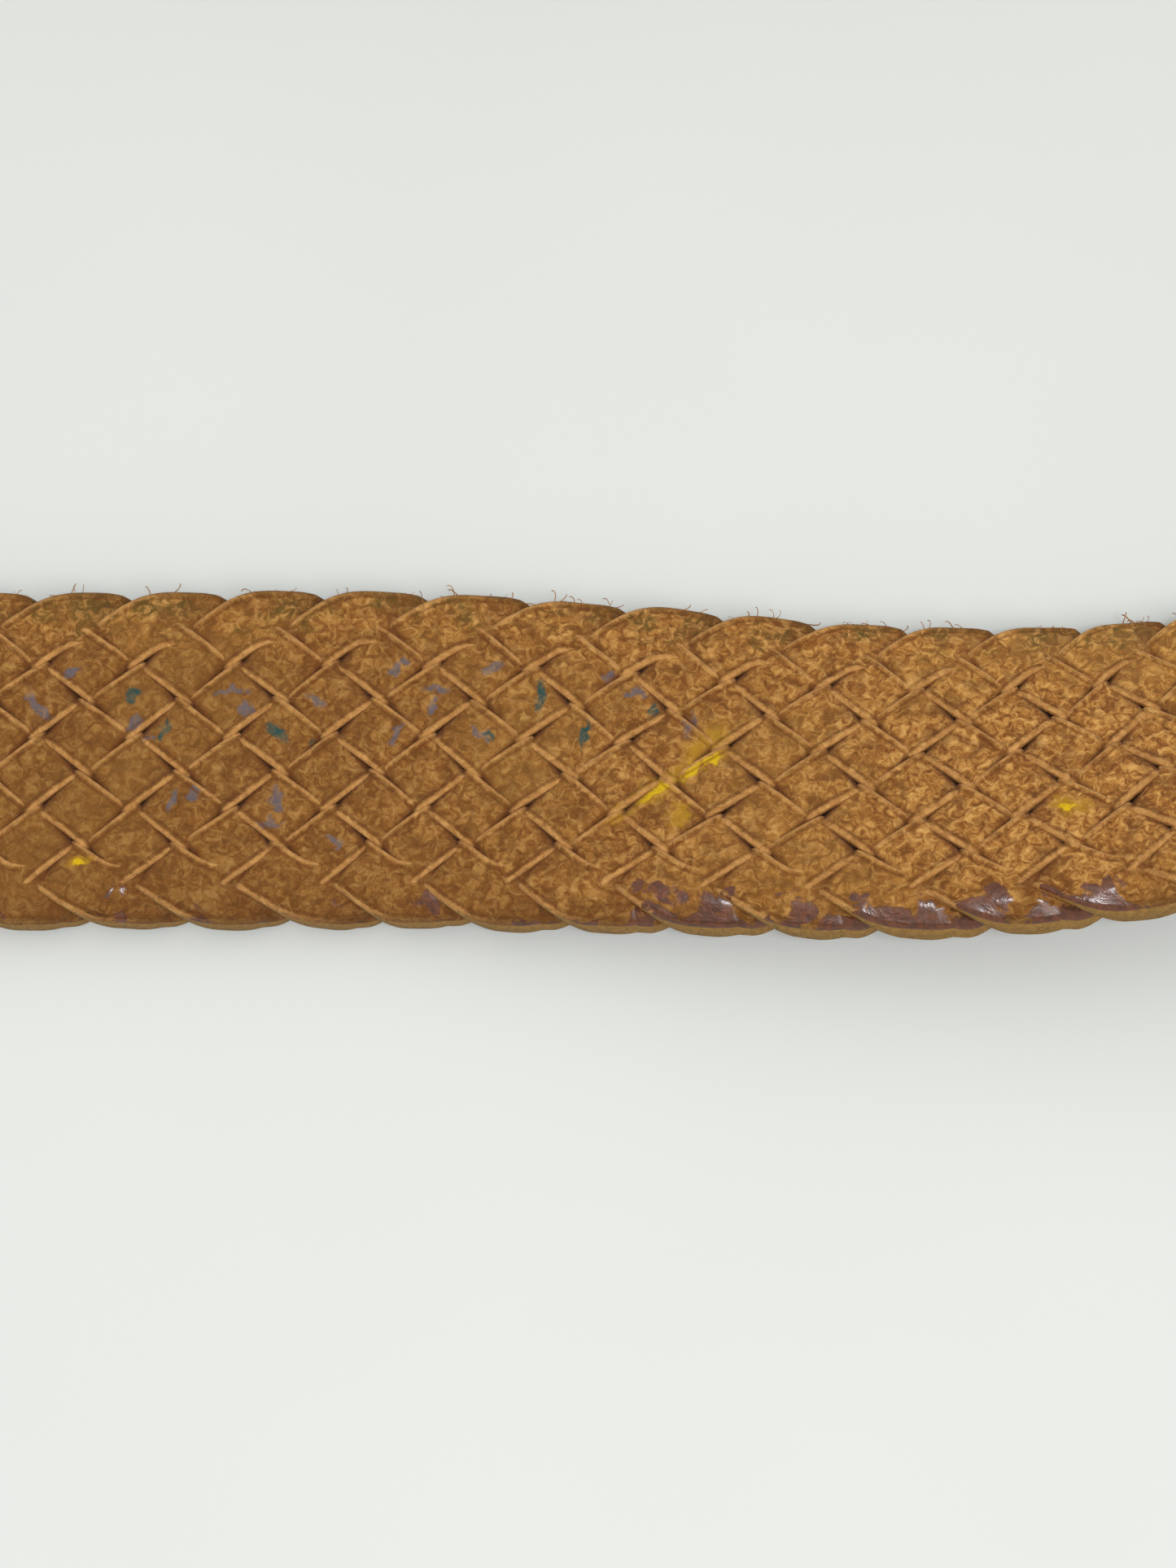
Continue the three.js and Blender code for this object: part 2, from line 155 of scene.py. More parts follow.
lamps = {
    "ceiling panel": {"at": (-0.3, -0.20, 1.2), "size": 1.3, "power": 0.9, "colour": "#FFF8EC"},
    "window": {"at": (0.10, -0.48, 1.10), "size": 0.16, "power": 3.6, "colour": "#F4F8FF"},
    "doorway": {"at": (0.36, -0.62, 0.85), "size": 0.5, "power": 2.8, "colour": "#FFFBF4"},
}
walls = {"colour": "#F0F1EE", "strength": 0.82}
board = {"halfSize": 3, "cloud": 50 * mm, "colours": ("#D6D9D6", "#DCDEDB")}


def makeLights():
    for name, lamp in lamps.items():
        data = bpy.data.lights.new(name, "AREA")
        data.size = lamp["size"]
        data.energy = lamp["power"]
        data.color = linear(lamp["colour"])[:3]
        light = bpy.data.objects.new(name, data)
        light.location = lamp["at"]
        aim = Vector((0, 0, 0)) - light.location
        light.rotation_euler = aim.to_track_quat("-Z", "Y").to_euler()
        bpy.context.scene.collection.objects.link(light)
    world = bpy.data.worlds.new("studio")
    world.use_nodes = True
    background = world.node_tree.nodes["Background"]
    background.inputs["Color"].default_value = linear(walls["colour"])
    background.inputs["Strength"].default_value = walls["strength"]
    bpy.context.scene.world = world
    bpy.context.scene.view_settings.view_transform = "Standard"


def makeTable():
    size = board["halfSize"]
    mesh = bpy.data.meshes.new("table")
    corners = [(-size, -size, 0), (size, -size, 0), (size, size, 0), (-size, size, 0)]
    mesh.from_pydata(corners, [], [(0, 1, 2, 3)])
    table = bpy.data.objects.new("table", mesh)
    bpy.context.scene.collection.objects.link(table)
    material, tree, shader = newMaterial("satin painted board")
    cloud = noise(tree, add(tree, "ShaderNodeTexCoord").outputs["Object"], board["cloud"])
    tree.links.new(mixed(tree, cloud, *board["colours"]), shader.inputs["Base Color"])
    shader.inputs["Roughness"].default_value = 0.55
    table.data.materials.append(material)


makeCamera()
makeLights()
makeTable()
print("camera, light and table are in place")


# ---- the rein's route: the same points as the part's, each x, y, roll in degrees, lift

plait = {
    "width": 0.026,
    "thickness": 0.0036,
    "tableGap": 0.0001,
    "start": (-0.0724, -0.096),
    "end": (0.037, 0.218),
}
coil = {"radius": 0.142, "step": 0.010, "turns": 2, "pointsPerTurn": 24}
restLine = -0.096

lyingPoints = [
    (-0.223, restLine, 0, -0.0052), (-0.212, restLine, 0, -0.0052), (-0.201, restLine, 0, -0.0052),
    (-0.190, restLine, 0, -0.0025), (-0.179, restLine, 0, 0.0023), (-0.169, restLine, 0, 0.0057),
    (-0.159, restLine, 0, 0.0068), (-0.147, restLine, 0, 0.0068), (-0.128, restLine, 0, 0.0068),
    (-0.106, restLine, 0, 0.0068), (-0.088, restLine, 0, 0.0068), (-0.074, restLine, 0, 0.0062),
    (-0.062, restLine, 0, 0.0034), (-0.052, restLine, 0, 0.0009), (-0.043, restLine, 0, 0),
    (-0.028, restLine, 0, 0), (-0.014, restLine, 0.5, 0), (0, restLine - 0.0009, 5, 0),
    (0.014, restLine - 0.0021, 10.5, 0), (0.028, restLine - 0.0027, 14.5, 0),
    (0.042, restLine - 0.0018, 20, 0), (0.058, restLine + 0.0017, 28, 0),
    (0.076, restLine + 0.0095, 39, 0), (0.094, restLine + 0.022, 51, 0),
    (0.109, restLine + 0.0385, 63, 0), (0.121, restLine + 0.058, 75, 0),
    (0.130, restLine + 0.081, 84, 0), (0.136, restLine + 0.106, 90, 0),
    (0.1395, restLine + 0.134, 90, 0), (0.1415, restLine + 0.164, 90, 0), (0.142, restLine + 0.196, 90, 0),
]
innerPoints = [
    (0.1165, 0.161, 90, 0), (0.1025, 0.1865, 90, 0.0006), (0.084, 0.203, 90, 0.0022),
    (0.0605, 0.2138, 90, 0.0043), (0.037, 0.218, 90, 0.0054), (0.018, 0.218, 90, 0.0054),
    (0, 0.218, 90, 0.0054), (-0.019, 0.218, 90, 0.0054), (-0.038, 0.218, 90, 0.0054),
    (-0.050, 0.218, 90, 0.0052), (-0.064, 0.2155, 90, 0.0048), (-0.076, 0.209, 90, 0.0045),
    (-0.086, 0.200, 90, 0.0043), (-0.0935, 0.18925, 90, 0.0039), (-0.101, 0.1785, 90, 0.0035),
]


def coilPoints():
    centreY = coil["radius"] - coil["step"] * coil["turns"] / 2
    points = []
    for i in range(coil["turns"] * coil["pointsPerTurn"] + 1):
        turn = i / coil["pointsPerTurn"]
        radius = coil["radius"] - coil["step"] * turn
        angle = 2 * math.pi * turn
        points.append((radius * math.cos(angle), centreY + radius * math.sin(angle), 90, 0))
    return points


def catmullRom(points, steps):
    points = np.vstack([2 * points[0] - points[1], points, 2 * points[-1] - points[-2]])
    a, b, c, d = (points[i:len(points) - 3 + i, None, :] for i in range(4))
    t = (np.arange(steps) / steps)[None, :, None]
    curve = b + (c - a) * t / 2 + (a - 2.5 * b + 2 * c - d / 2) * t**2 + (3 * b - a - 3 * c + d) * t**3 / 2
    return np.vstack([curve.reshape(-1, points.shape[1]), points[-2]])


def makeRoute():
    points = np.array(lyingPoints + coilPoints() + innerPoints, float)
    roll = np.radians(points[:, 2])
    height = plait["width"] / 2 * np.sin(roll) + plait["thickness"] / 2 * np.cos(roll)
    places = np.column_stack([points[:, 0], points[:, 1], plait["tableGap"] + height + points[:, 3], roll])
    line = catmullRom(places, 40)
    place, roll = line[:, :3], line[:, 3:]
    along = np.gradient(place, axis=0)
    along /= np.linalg.norm(along, axis=1, keepdims=True)
    level = np.cross((0, 0, 1), along)
    level /= np.linalg.norm(level, axis=1, keepdims=True)
    across = level * np.cos(roll) - np.cross(along, level) * np.sin(roll)
    distance = np.concatenate([[0], np.cumsum(np.linalg.norm(np.diff(place, axis=0), axis=1))])
    return distance, place, across, np.cross(along, across)


routeDistance, routePlace, routeAcross, routeOut = makeRoute()


def alongRoute(values, distance):
    return np.stack([np.interp(distance, routeDistance, values[:, i]) for i in range(3)], axis=-1)


def distanceAt(x, y):
    fine = np.linspace(0, routeDistance[-1], 150001)
    place = alongRoute(routePlace, fine)
    return fine[np.argmin(np.hypot(place[:, 0] - x, place[:, 1] - y))]


# A point so far along the rein, across it, and out of its flesh side.
def onRein(distance, across, out):
    distance, across, out = np.broadcast_arrays(distance, across, out)
    offset = alongRoute(routeAcross, distance) * across[..., None]
    return alongRoute(routePlace, distance) + offset + alongRoute(routeOut, distance) * out[..., None]


plaitStart = distanceAt(*plait["start"])
plaitEnd = distanceAt(*plait["end"])


# ---- meshes

# Rings of points, one after the other, as a tube with its ends closed, or as a closed loop.
def tube(name, rings, materials, faceSlots=None, loop=False, attributes=None, uvMap=None):
    count, size = rings.shape[:2]
    spans = count if loop else count - 1
    ring = np.arange(spans)[:, None] * size
    following = (np.arange(spans)[:, None] + 1) % count * size
    here, there = np.arange(size)[None, :], (np.arange(size)[None, :] + 1) % size
    quads = np.stack([ring + here, ring + there, following + there, following + here], axis=-1).reshape(-1, 4)
    slots = np.tile(np.zeros(size, int) if faceSlots is None else np.array(faceSlots), spans)
    mesh = bpy.data.meshes.new(name)
    mesh.vertices.add(count * size)
    mesh.vertices.foreach_set("co", rings.reshape(-1))
    ends = 0 if loop else 2
    mesh.loops.add(quads.size + ends * size)
    mesh.polygons.add(len(quads) + ends)
    corners = quads.reshape(-1)
    starts = np.arange(len(quads)) * 4
    if ends:
        corners = np.concatenate([corners, np.arange(size)[::-1], np.arange(size) + (count - 1) * size])
        starts = np.concatenate([starts, [quads.size, quads.size + size]])
        slots = np.concatenate([slots, slots[:2]])
    mesh.loops.foreach_set("vertex_index", corners)
    mesh.polygons.foreach_set("loop_start", starts)
    mesh.polygons.foreach_set("material_index", slots)
    mesh.polygons.foreach_set("use_smooth", np.ones(len(starts), bool))
    mesh.update(calc_edges=True)
    mesh.validate()
    for title, values in (attributes or {}).items():
        layer = mesh.attributes.new(title, "FLOAT_VECTOR", "POINT")
        layer.data.foreach_set("vector", np.ascontiguousarray(values.reshape(-1), dtype=np.float32))
    if uvMap:
        title, values = uvMap
        layer = mesh.uv_layers.new(name=title)
        layer.data.foreach_set("uv", values.reshape(-1, 2)[corners].reshape(-1).astype(np.float32))
    for material in materials:
        mesh.materials.append(material)
    piece = bpy.data.objects.new(name, mesh)
    bpy.context.scene.collection.objects.link(piece)
    return piece


def roundedSection(width, height, corner, steps=3):
    points = []
    for sx, sy, first in ((1, 1, 0), (-1, 1, 90), (-1, -1, 180), (1, -1, 270)):
        for i in range(steps + 1):
            angle = math.radians(first + 90 * i / steps)
            points.append((sx * (width / 2 - corner) + corner * math.cos(angle),
                           sy * (height / 2 - corner) + corner * math.sin(angle)))
    return np.array(points)


# ---- materials

# Stains on the flesh side: x and y of the middle, half length, half width, turn in degrees.
stains = {
    "paint smear": {
        "colour": "#BC8E18",
        "strength": 0.65,
        "spots": [
            (8.8, -96.2, 2.3, 1.3, 45), (5.4, -99.2, 2.6, 0.9, 30), (6.6, -101.6, 1.2, 0.7, 60),
            (2.4, -101.2, 1.1, 0.6, 25), (34.6, -101.6, 1.4, 0.8, -15), (-37.0, -104.2, 1.0, 0.5, 10),
        ],
    },
    "dried paint": {
        "colour": "#DDB400",
        "strength": 1.1,
        "spots": [
            (9.0, -97.2, 0.9, 0.4, 40), (5.2, -99.4, 1.7, 0.4, 30), (7.6, -98.0, 0.6, 0.35, 70),
            (34.6, -101.8, 0.6, 0.3, 5), (-37.0, -104.4, 0.5, 0.25, 10),
        ],
    },
    "rubbed ink": {
        "colour": "#625F68",
        "strength": 0.85,
        "spots": [
            (-40.6, -92.4, 1.2, 0.32, -42), (-38.2, -89.8, 0.6, 0.3, 20), (-33.4, -93.6, 0.6, 0.35, 60),
            (-26.4, -91.2, 1.1, 0.3, 5), (-25.2, -92.6, 0.5, 0.5, 50), (-20.0, -91.8, 0.75, 0.35, -50),
            (-14.0, -89.2, 0.9, 0.3, 35), (-11.2, -91.0, 1.0, 0.26, -10), (-11.4, -92.4, 0.7, 0.26, 60),
            (-14.0, -94.4, 0.9, 0.28, 62), (-8.0, -94.6, 0.9, 0.34, -45), (-7.0, -89.4, 0.8, 0.28, 30),
            (1.6, -90.4, 0.5, 0.4, -30), (3.4, -91.6, 0.9, 0.26, 0), (7.4, -94.2, 1.0, 0.34, 82),
            (-30.4, -99.6, 0.9, 0.3, 80), (-29.0, -99.2, 0.6, 0.4, 10), (-22.8, -99.6, 0.5, 0.9, 10),
            (-23.4, -101.4, 0.9, 0.3, 0), (-18.6, -102.8, 0.6, 0.3, -40), (-32.4, -94.8, 0.5, 0.3, 30),
        ],
    },
    "fresh ink": {
        "colour": "#1C4A46",
        "strength": 1.0,
        "spots": [
            (-33.6, -91.4, 0.5, 0.45, 10), (-31.2, -94.2, 0.9, 0.34, 75), (-22.8, -94.4, 0.85, 0.5, -45),
            (-3.6, -91.6, 1.4, 0.32, 86), (-0.2, -94.8, 1.2, 0.28, 75), (4.8, -93.0, 0.6, 0.3, 60),
            (-20.2, -95.2, 0.35, 0.25, 20), (-7.2, -95.0, 0.5, 0.25, -30),
        ],
    },
}


def vectors(tree, operation, a, b=None, scale=None):
    inputs = {key: value for key, value in ((0, a), (1, b), ("Scale", scale)) if value is not None}
    return add(tree, "ShaderNodeVectorMath", inputs, operation=operation).outputs


def stained(tree, place, fibres, colour):
    # The liquid followed the fibres, so the spots' outlines are torn.
    tear = add(tree, "ShaderNodeTexNoise", {"Vector": place, "Scale": 1 / (0.9 * mm), "Detail": 3})
    push = vectors(tree, "SUBTRACT", tear.outputs["Color"], (0.5, 0.5, 0.5))[0]
    place = vectors(tree, "ADD", place, vectors(tree, "SCALE", push, scale=1.7 * mm)[0])[0]
    soaked = add(tree, "ShaderNodeMapRange", {
        "Value": fibres, "From Min": 0.40, "From Max": 0.66, "To Min": 1.0, "To Max": 0.5})
    for stain in stains.values():
        mask = None
        for x, y, half, side, turn in stain["spots"]:
            moved = add(tree, "ShaderNodeMapping", {
                "Vector": place, "Location": (x * mm, y * mm, 0),
                "Rotation": (0, 0, math.radians(turn)), "Scale": (half * mm, side * mm, 1)},
                vector_type="TEXTURE").outputs["Vector"]
            reach = vectors(tree, "LENGTH", vectors(tree, "MULTIPLY", moved, (1, 1, 0))[0])["Value"]
            spot = between(tree, reach, 1.35, 0.65)
            mask = spot if mask is None else sums(tree, "MAXIMUM", mask, spot)
        mask = times(tree, times(tree, mask, soaked.outputs["Result"]), stain["strength"])
        colour = mixed(tree, mask, colour, stain["colour"])
    return colour


# Darker towards one end and towards the near edge, and rubbed dirt along the far edge.
def darkenedAndSoiled(tree, place, fibres, ragged, along, across, colour):
    darkerTowardsEnd = between(tree, along, 275, 195)
    share = sums(tree, "SUBTRACT", 0.60, times(tree, between(tree, across, 6, 11), 0.25))
    colour = mixed(tree, times(tree, darkerTowardsEnd, share), colour, "#663E0F")
    # Darker towards the near edge.
    held = between(tree, across, -6, -12)
    colour = mixed(tree, times(tree, held, 0.22), colour, "#663E0F")
    dirt = between(tree, sums(tree, "ADD", across, times(tree, ragged, 20)), 8.8, 12.2)
    dirt = times(tree, dirt, between(tree, noise(tree, place, 3.2 * mm, 4, 0.6), 0.42, 0.60))
    dirt = times(tree, dirt, between(tree, fibres, 0.62, 0.46))
    return mixed(tree, times(tree, dirt, 0.7), colour, "#534A18")


# Painted shade in the creases where a thong goes under the next one and in grooves inside the
# ridges along its edges. The ridges are paler, partly from the paler cut fibre and partly from painted
# light on them. The height is 1 where the thong is on top.
def creaseShadeAndLitRims(tree, fibres, mottle, ragged, edgeShade, across, edge, height, colour):
    middling = between(tree, sums(tree, "ABSOLUTE", across), 11.2, 9.4)
    shadeStrength = sums(tree, "ADD", times(tree, middling, 0.5), 0.3)
    # Painted shade where a thong dives under the next one, stronger away from the rein's edges.
    sunkShade = times(tree, between(tree, height, 0.98, 0.80), shadeStrength)
    # Painted shade in a groove just inside each ridge.
    groove = between(tree, sums(tree, "ABSOLUTE", sums(tree, "SUBTRACT", edge, 0.755)), 0.075, 0.015)
    groove = times(tree, groove, sums(tree, "ADD", times(tree, mottle, -1.2), 1.1))
    colour = mixed(tree, sums(tree, "MAXIMUM", sunkShade, groove), colour, "#66360C")
    # Paler ridges where the thong is on top: partly the paler cut fibre, partly painted light.
    rim = between(tree, sums(tree, "ADD", edge, times(tree, ragged, 0.3)), 0.82, 0.90)
    raised = between(tree, height, 0.74, 0.95)
    raised = times(tree, raised, sums(tree, "SUBTRACT", 1.0, times(tree, edgeShade, 0.8)))
    paleAndLitRimColour = ramp(tree, fibres, (0.30, "#9E6931"), (0.66, "#D09A5A"))
    return mixed(tree, times(tree, rim, times(tree, raised, 0.85)), colour, paleAndLitRimColour)


# The finish of the grain side has crept over the near edge in places, most of all in one stretch.
def creptFinish(tree, place, ragged, along, across):
    creep = sums(tree, "ADD", times(tree, across, -1), times(tree, ragged, 14))
    blotch = sums(tree, "SUBTRACT", noise(tree, place, 4.5 * mm, 2), 0.5)
    creep = sums(tree, "ADD", creep, times(tree, blotch, 14))
    stretch = times(tree, between(tree, along, 227, 233), between(tree, along, 270, 264))
    creep = sums(tree, "ADD", creep, times(tree, stretch, 2.1))
    return between(tree, creep, 13.7, 14.3)


# The near edge is rounded over by the hand, and each thong is a little crowned there.
def roundedEdge(tree, across, edge):
    overEdge = sums(tree, "MAXIMUM", sums(tree, "SUBTRACT", times(tree, across, -1), 9.0), 0)
    crown = times(tree, times(tree, edge, edge), between(tree, across, -8, -10))
    return times(tree, sums(tree, "ADD", times(tree, overEdge, overEdge), times(tree, crown, 5)), -1)


# Vegetable-tanned leather, flesh side out: matt, mottled and fibrous, lighter along its cut edges,
# partly with painted light, with painted shade in its creases and along the rein's edges.
def fleshSide():
    material, tree, shader = newMaterial("flesh side suede")
    place = add(tree, "ShaderNodeTexCoord").outputs["Object"]
    along, across = surfacePlace(tree, "onRein")[:2]
    onThong, height = surfacePlace(tree, "onThong")[1:]
    edge = sums(tree, "ABSOLUTE", onThong)
    fibres = noise(tree, place, 0.74 * mm, 6, 0.68, 0.9)
    mottle = noise(tree, place, 1.7 * mm, 4, 0.6, 0.6)
    patch = noise(tree, place, 14 * mm, 3, 0.5)
    ragged = times(tree, sums(tree, "SUBTRACT", mottle, 0.5), 0.5)
    colour = ramp(tree, fibres, (0.36, "#764510"), (0.45, "#9B6126"), (0.50, "#AF7735"),
                  (0.56, "#C88F48"), (0.66, "#E4AE63"))
    colour = mixed(tree, times(tree, between(tree, mottle, 0.52, 0.36), 0.5), colour, "#693D10")
    colour = mixed(tree, times(tree, between(tree, patch, 0.45, 0.65), 0.25), colour, "#B18139")
    colour = darkenedAndSoiled(tree, place, fibres, ragged, along, across, colour)
    # Painted shade along both edges of the rein, where the thongs roll over; it also dims the paler ridges
    # there.
    edgeShade = between(tree, sums(tree, "ABSOLUTE", across), 12.1, 12.9)
    colour = mixed(tree, times(tree, edgeShade, 0.55), colour, "#644112")
    colour = stained(tree, place, fibres, colour)
    colour = creaseShadeAndLitRims(tree, fibres, mottle, ragged, edgeShade, across, edge, height, colour)
    finish = creptFinish(tree, place, ragged, along, across)
    colour = mixed(tree, finish, colour, ramp(tree, fibres, (0.4, "#4C2206"), (0.6, "#6B340B")))
    tree.links.new(colour, shader.inputs["Base Color"])
    tree.links.new(rescaled(tree, finish, 0.90, 0.36), shader.inputs["Roughness"])
    tree.links.new(times(tree, finish, 0.6), shader.inputs["Coat Weight"])
    shader.inputs["Coat Roughness"].default_value = 0.16
    shader.inputs["Specular IOR Level"].default_value = 0.28
    shader.inputs["Sheen Weight"].default_value = 0.04
    shader.inputs["Sheen Roughness"].default_value = 0.6
    nap = times(tree, fibres, sums(tree, "SUBTRACT", 1.0, times(tree, finish, 0.7)))
    suede = bumped(tree, mottle, 0.35 * mm, 0.8, bumped(tree, nap, 0.22 * mm))
    # The wax fills the fibres, so it is smoother than the leather under it.
    wax = bumped(tree, mottle, 0.12 * mm, 0.6)
    lowered = roundedEdge(tree, across, edge)
    tree.links.new(bumped(tree, lowered, 0.08 * mm, 1.0, suede), shader.inputs["Normal"])
    tree.links.new(bumped(tree, lowered, 0.08 * mm, 1.0, wax), shader.inputs["Coat Normal"])
    return material


# The cut side of a thong: bare fibre, lighter than the flesh side.
def cutEdge():
    material, tree, shader = newMaterial("cut leather edge")
    place = add(tree, "ShaderNodeTexCoord").outputs["Object"]
    fibres = noise(tree, place, 0.35 * mm, 4, 0.6, 0.8)
    colour = ramp(tree, fibres, (0.3, "#7A4A16"), (0.7, "#BA833D"))
    across = surfacePlace(tree, "onRein")[1]
    colour = mixed(tree, times(tree, between(tree, across, -11.2, -12.2), 0.5), colour, "#6A5A22")
    # Painted shade: the cut edges are darker along the far edge of the rein.
    colour = mixed(tree, times(tree, between(tree, across, 11.6, 12.6), 0.5), colour, "#644114")
    tree.links.new(colour, shader.inputs["Base Color"])
    shader.inputs["Roughness"].default_value = 0.85
    tree.links.new(bumped(tree, fibres, 0.15 * mm), shader.inputs["Normal"])
    return material


# The grain side: dyed reddish brown, waxed and polished by use.
def grainSide():
    material, tree, shader = newMaterial("waxed grain side")
    place = add(tree, "ShaderNodeTexCoord").outputs["Object"]
    cloud = noise(tree, place, 3 * mm, 3, 0.55)
    colour = ramp(tree, cloud, (0.3, "#3A1D16"), (0.7, "#5C3226"))
    tree.links.new(colour, shader.inputs["Base Color"])
    pores = add(tree, "ShaderNodeTexVoronoi", {
        "Vector": place, "Scale": 1 / (0.5 * mm)}).outputs["Distance"]
    tree.links.new(rescaled(tree, cloud, 0.24, 0.42), shader.inputs["Roughness"])
    tree.links.new(bumped(tree, pores, 0.05 * mm, 0.6), shader.inputs["Normal"])
    return material


fleshMaterial = fleshSide()
edgeMaterial = cutEdge()
grainMaterial = grainSide()


# ---- the plait

thong = {
    "count": 9,
    "pitch": 7.2,          # along the rein, from one scallop to the next, mm like all of these
    "slope": 0.783,        # how fast a thong crosses the rein
    "turnRounding": 2.5,
    "width": 4.52,
    "thickness": 1.68,
    "rim": 0.10,           # height of the ridge along each cut edge
    "edgeCurl": 1.12,      # how far the underside is pared away at the edges of an upper thong
    "edgeDip": 0.45,
    "fineSteps": 28,       # steps for each crossing in the stretch that lies flat
    "coarseSteps": 6,
    "firstTurn": -1.05,    # phase of the far edge's scallops, from the middle of the lying stretch
    "intoChape": 5.0,
    "stray": 0.12,         # how far its middle strays from the rule
    "widthStray": 0.05,    # share of its width
    "liftStray": 0.07,
    "pressed": 0.45,       # share of its thickness lost in the chape
    "drawnIn": 0.08,       # share of the plait's width lost there
}
lyingReach = 0.052         # half the length that lies flat, in metres
topPoints = (-1, -0.975, -0.9, -0.78, -0.45, 0, 0.45, 0.78, 0.9, 0.975, 1)
undersidePoints = (1, 0.95, 0.75, 0.35, -0.35, -0.75, -0.95, -1)
crossing = thong["pitch"] / 2
crossingSpan = thong["count"] * crossing


def wander(distance, rng, size, periods=(7, 11, 19, 31)):
    total = np.zeros_like(distance)
    for period in periods:
        total += np.sin(2 * np.pi * (distance / (period * rng.uniform(0.85, 1.15)) + rng.random()))
    return size * total / len(periods)


# Where a thong runs across the rein, by its distance from its last turn.
def thongAcross(fromTurn):
    def rounded(d):
        return (d**4 + thong["turnRounding"]**4) ** 0.25
    middle = crossingSpan / 2
    going = middle - rounded(fromTurn)
    coming = rounded(crossingSpan - fromTurn) - middle
    return thong["slope"] * np.where(fromTurn <= middle, going, coming)


# Heights of a thong's flesh side and grain side as shares of its thickness, from the middle of
# an upper crossing (0) to the middle of a lower one (1), and on either side of a turn.
dive = (
    (0, 1, 0), (0.28, 0.99, 0), (0.42, 0.94, -0.10), (0.50, 0.84, -0.22), (0.58, 0.60, -0.40),
    (0.66, 0.26, -0.70), (0.74, 0.06, -0.93), (0.84, 0, -0.99), (1, 0, -1),
)
intoTurn = ((0, 1, 0), (0.4, 0.99, 0), (0.7, 0.96, -0.14), (1, 0.90, -0.26))
outOfTurn = (
    (0, 0.90, -0.26), (0.3, 0.84, -0.34), (0.5, 0.72, -0.48), (0.66, 0.36, -0.74), (0.8, 0.06, -0.96),
    (0.9, 0, -1), (1, 0, -1),
)


def thongHeights(fromTurn):
    last = crossing * (thong["count"] - 1)
    nearest = np.clip(np.round(fromTurn / thong["pitch"]), 1, (thong["count"] - 1) // 2)
    between = np.abs(fromTurn - nearest * thong["pitch"]) / crossing
    heights = []
    for side in (1, 2):
        def look(table, place):
            return np.interp(place, [row[0] for row in table], [row[side] for row in table])
        height = look(dive, between)
        height = np.where(fromTurn > last, look(intoTurn, (fromTurn - last) / crossing), height)
        heights.append(np.where(fromTurn < crossing, look(outOfTurn, fromTurn / crossing), height))
    return heights


# Close steps where the rein lies flat, and fewer of them past it.
def thongSteps(start, end, phase):
    fineStart = distanceAt(-lyingReach, restLine) / mm
    fineEnd = distanceAt(lyingReach, restLine) / mm
    steps = []
    for k in range(math.floor((start - phase) / crossing) - 1, math.ceil((end - phase) / crossing) + 1):
        begin = phase + k * crossing - crossing / 2
        count = thong["fineSteps"] if fineStart < begin < fineEnd else thong["coarseSteps"]
        steps.append(begin + np.arange(count) * crossing / count)
    distance = np.concatenate(steps)
    return distance[(distance > start) & (distance < end)]


# Which way a thong crosses the rein, and how far it is from its last turn.
def thongSpan(distance, phase):
    spans = np.floor((distance - phase) / crossingSpan)
    return np.where(spans % 2 == 0, 1, -1), distance - phase - spans * crossingSpan


# A thong's outline at each step: ridges along the cut edges of the flesh side, and an underside
# pared away where it rides over another thong. A turn's outer edge rolls down.
def thongOutline(upper, lower, thickness, turning, outward, lift):
    side = np.array(topPoints + undersidePoints)[None, :]
    onTop = np.array([True] * len(topPoints) + [False] * len(undersidePoints))[None, :]
    over = smooth(0.25, 0.85, upper)
    outer = np.clip((side * outward + 0.6) / 1.6, 0, 1) ** 2
    reach = np.abs(side)
    ridge = np.exp(-((reach - 0.91) / 0.07) ** 2) - 0.5 * np.exp(-((reach - 0.72) / 0.13) ** 2)
    corner = 0.12 * smooth(0.95, 1.0, reach)
    flesh = upper * thickness + thong["rim"] * over * ridge - corner
    flesh = flesh - thong["edgeDip"] * reach ** 3 * (1 - over)
    pared = thong["edgeCurl"] * smooth(0.5, 1, reach) * over * (1 - 0.7 * turning * outer)
    grain = lower * thickness + pared + corner
    return side, np.where(onTop, flesh, grain) + lift - 0.5 * turning * outer


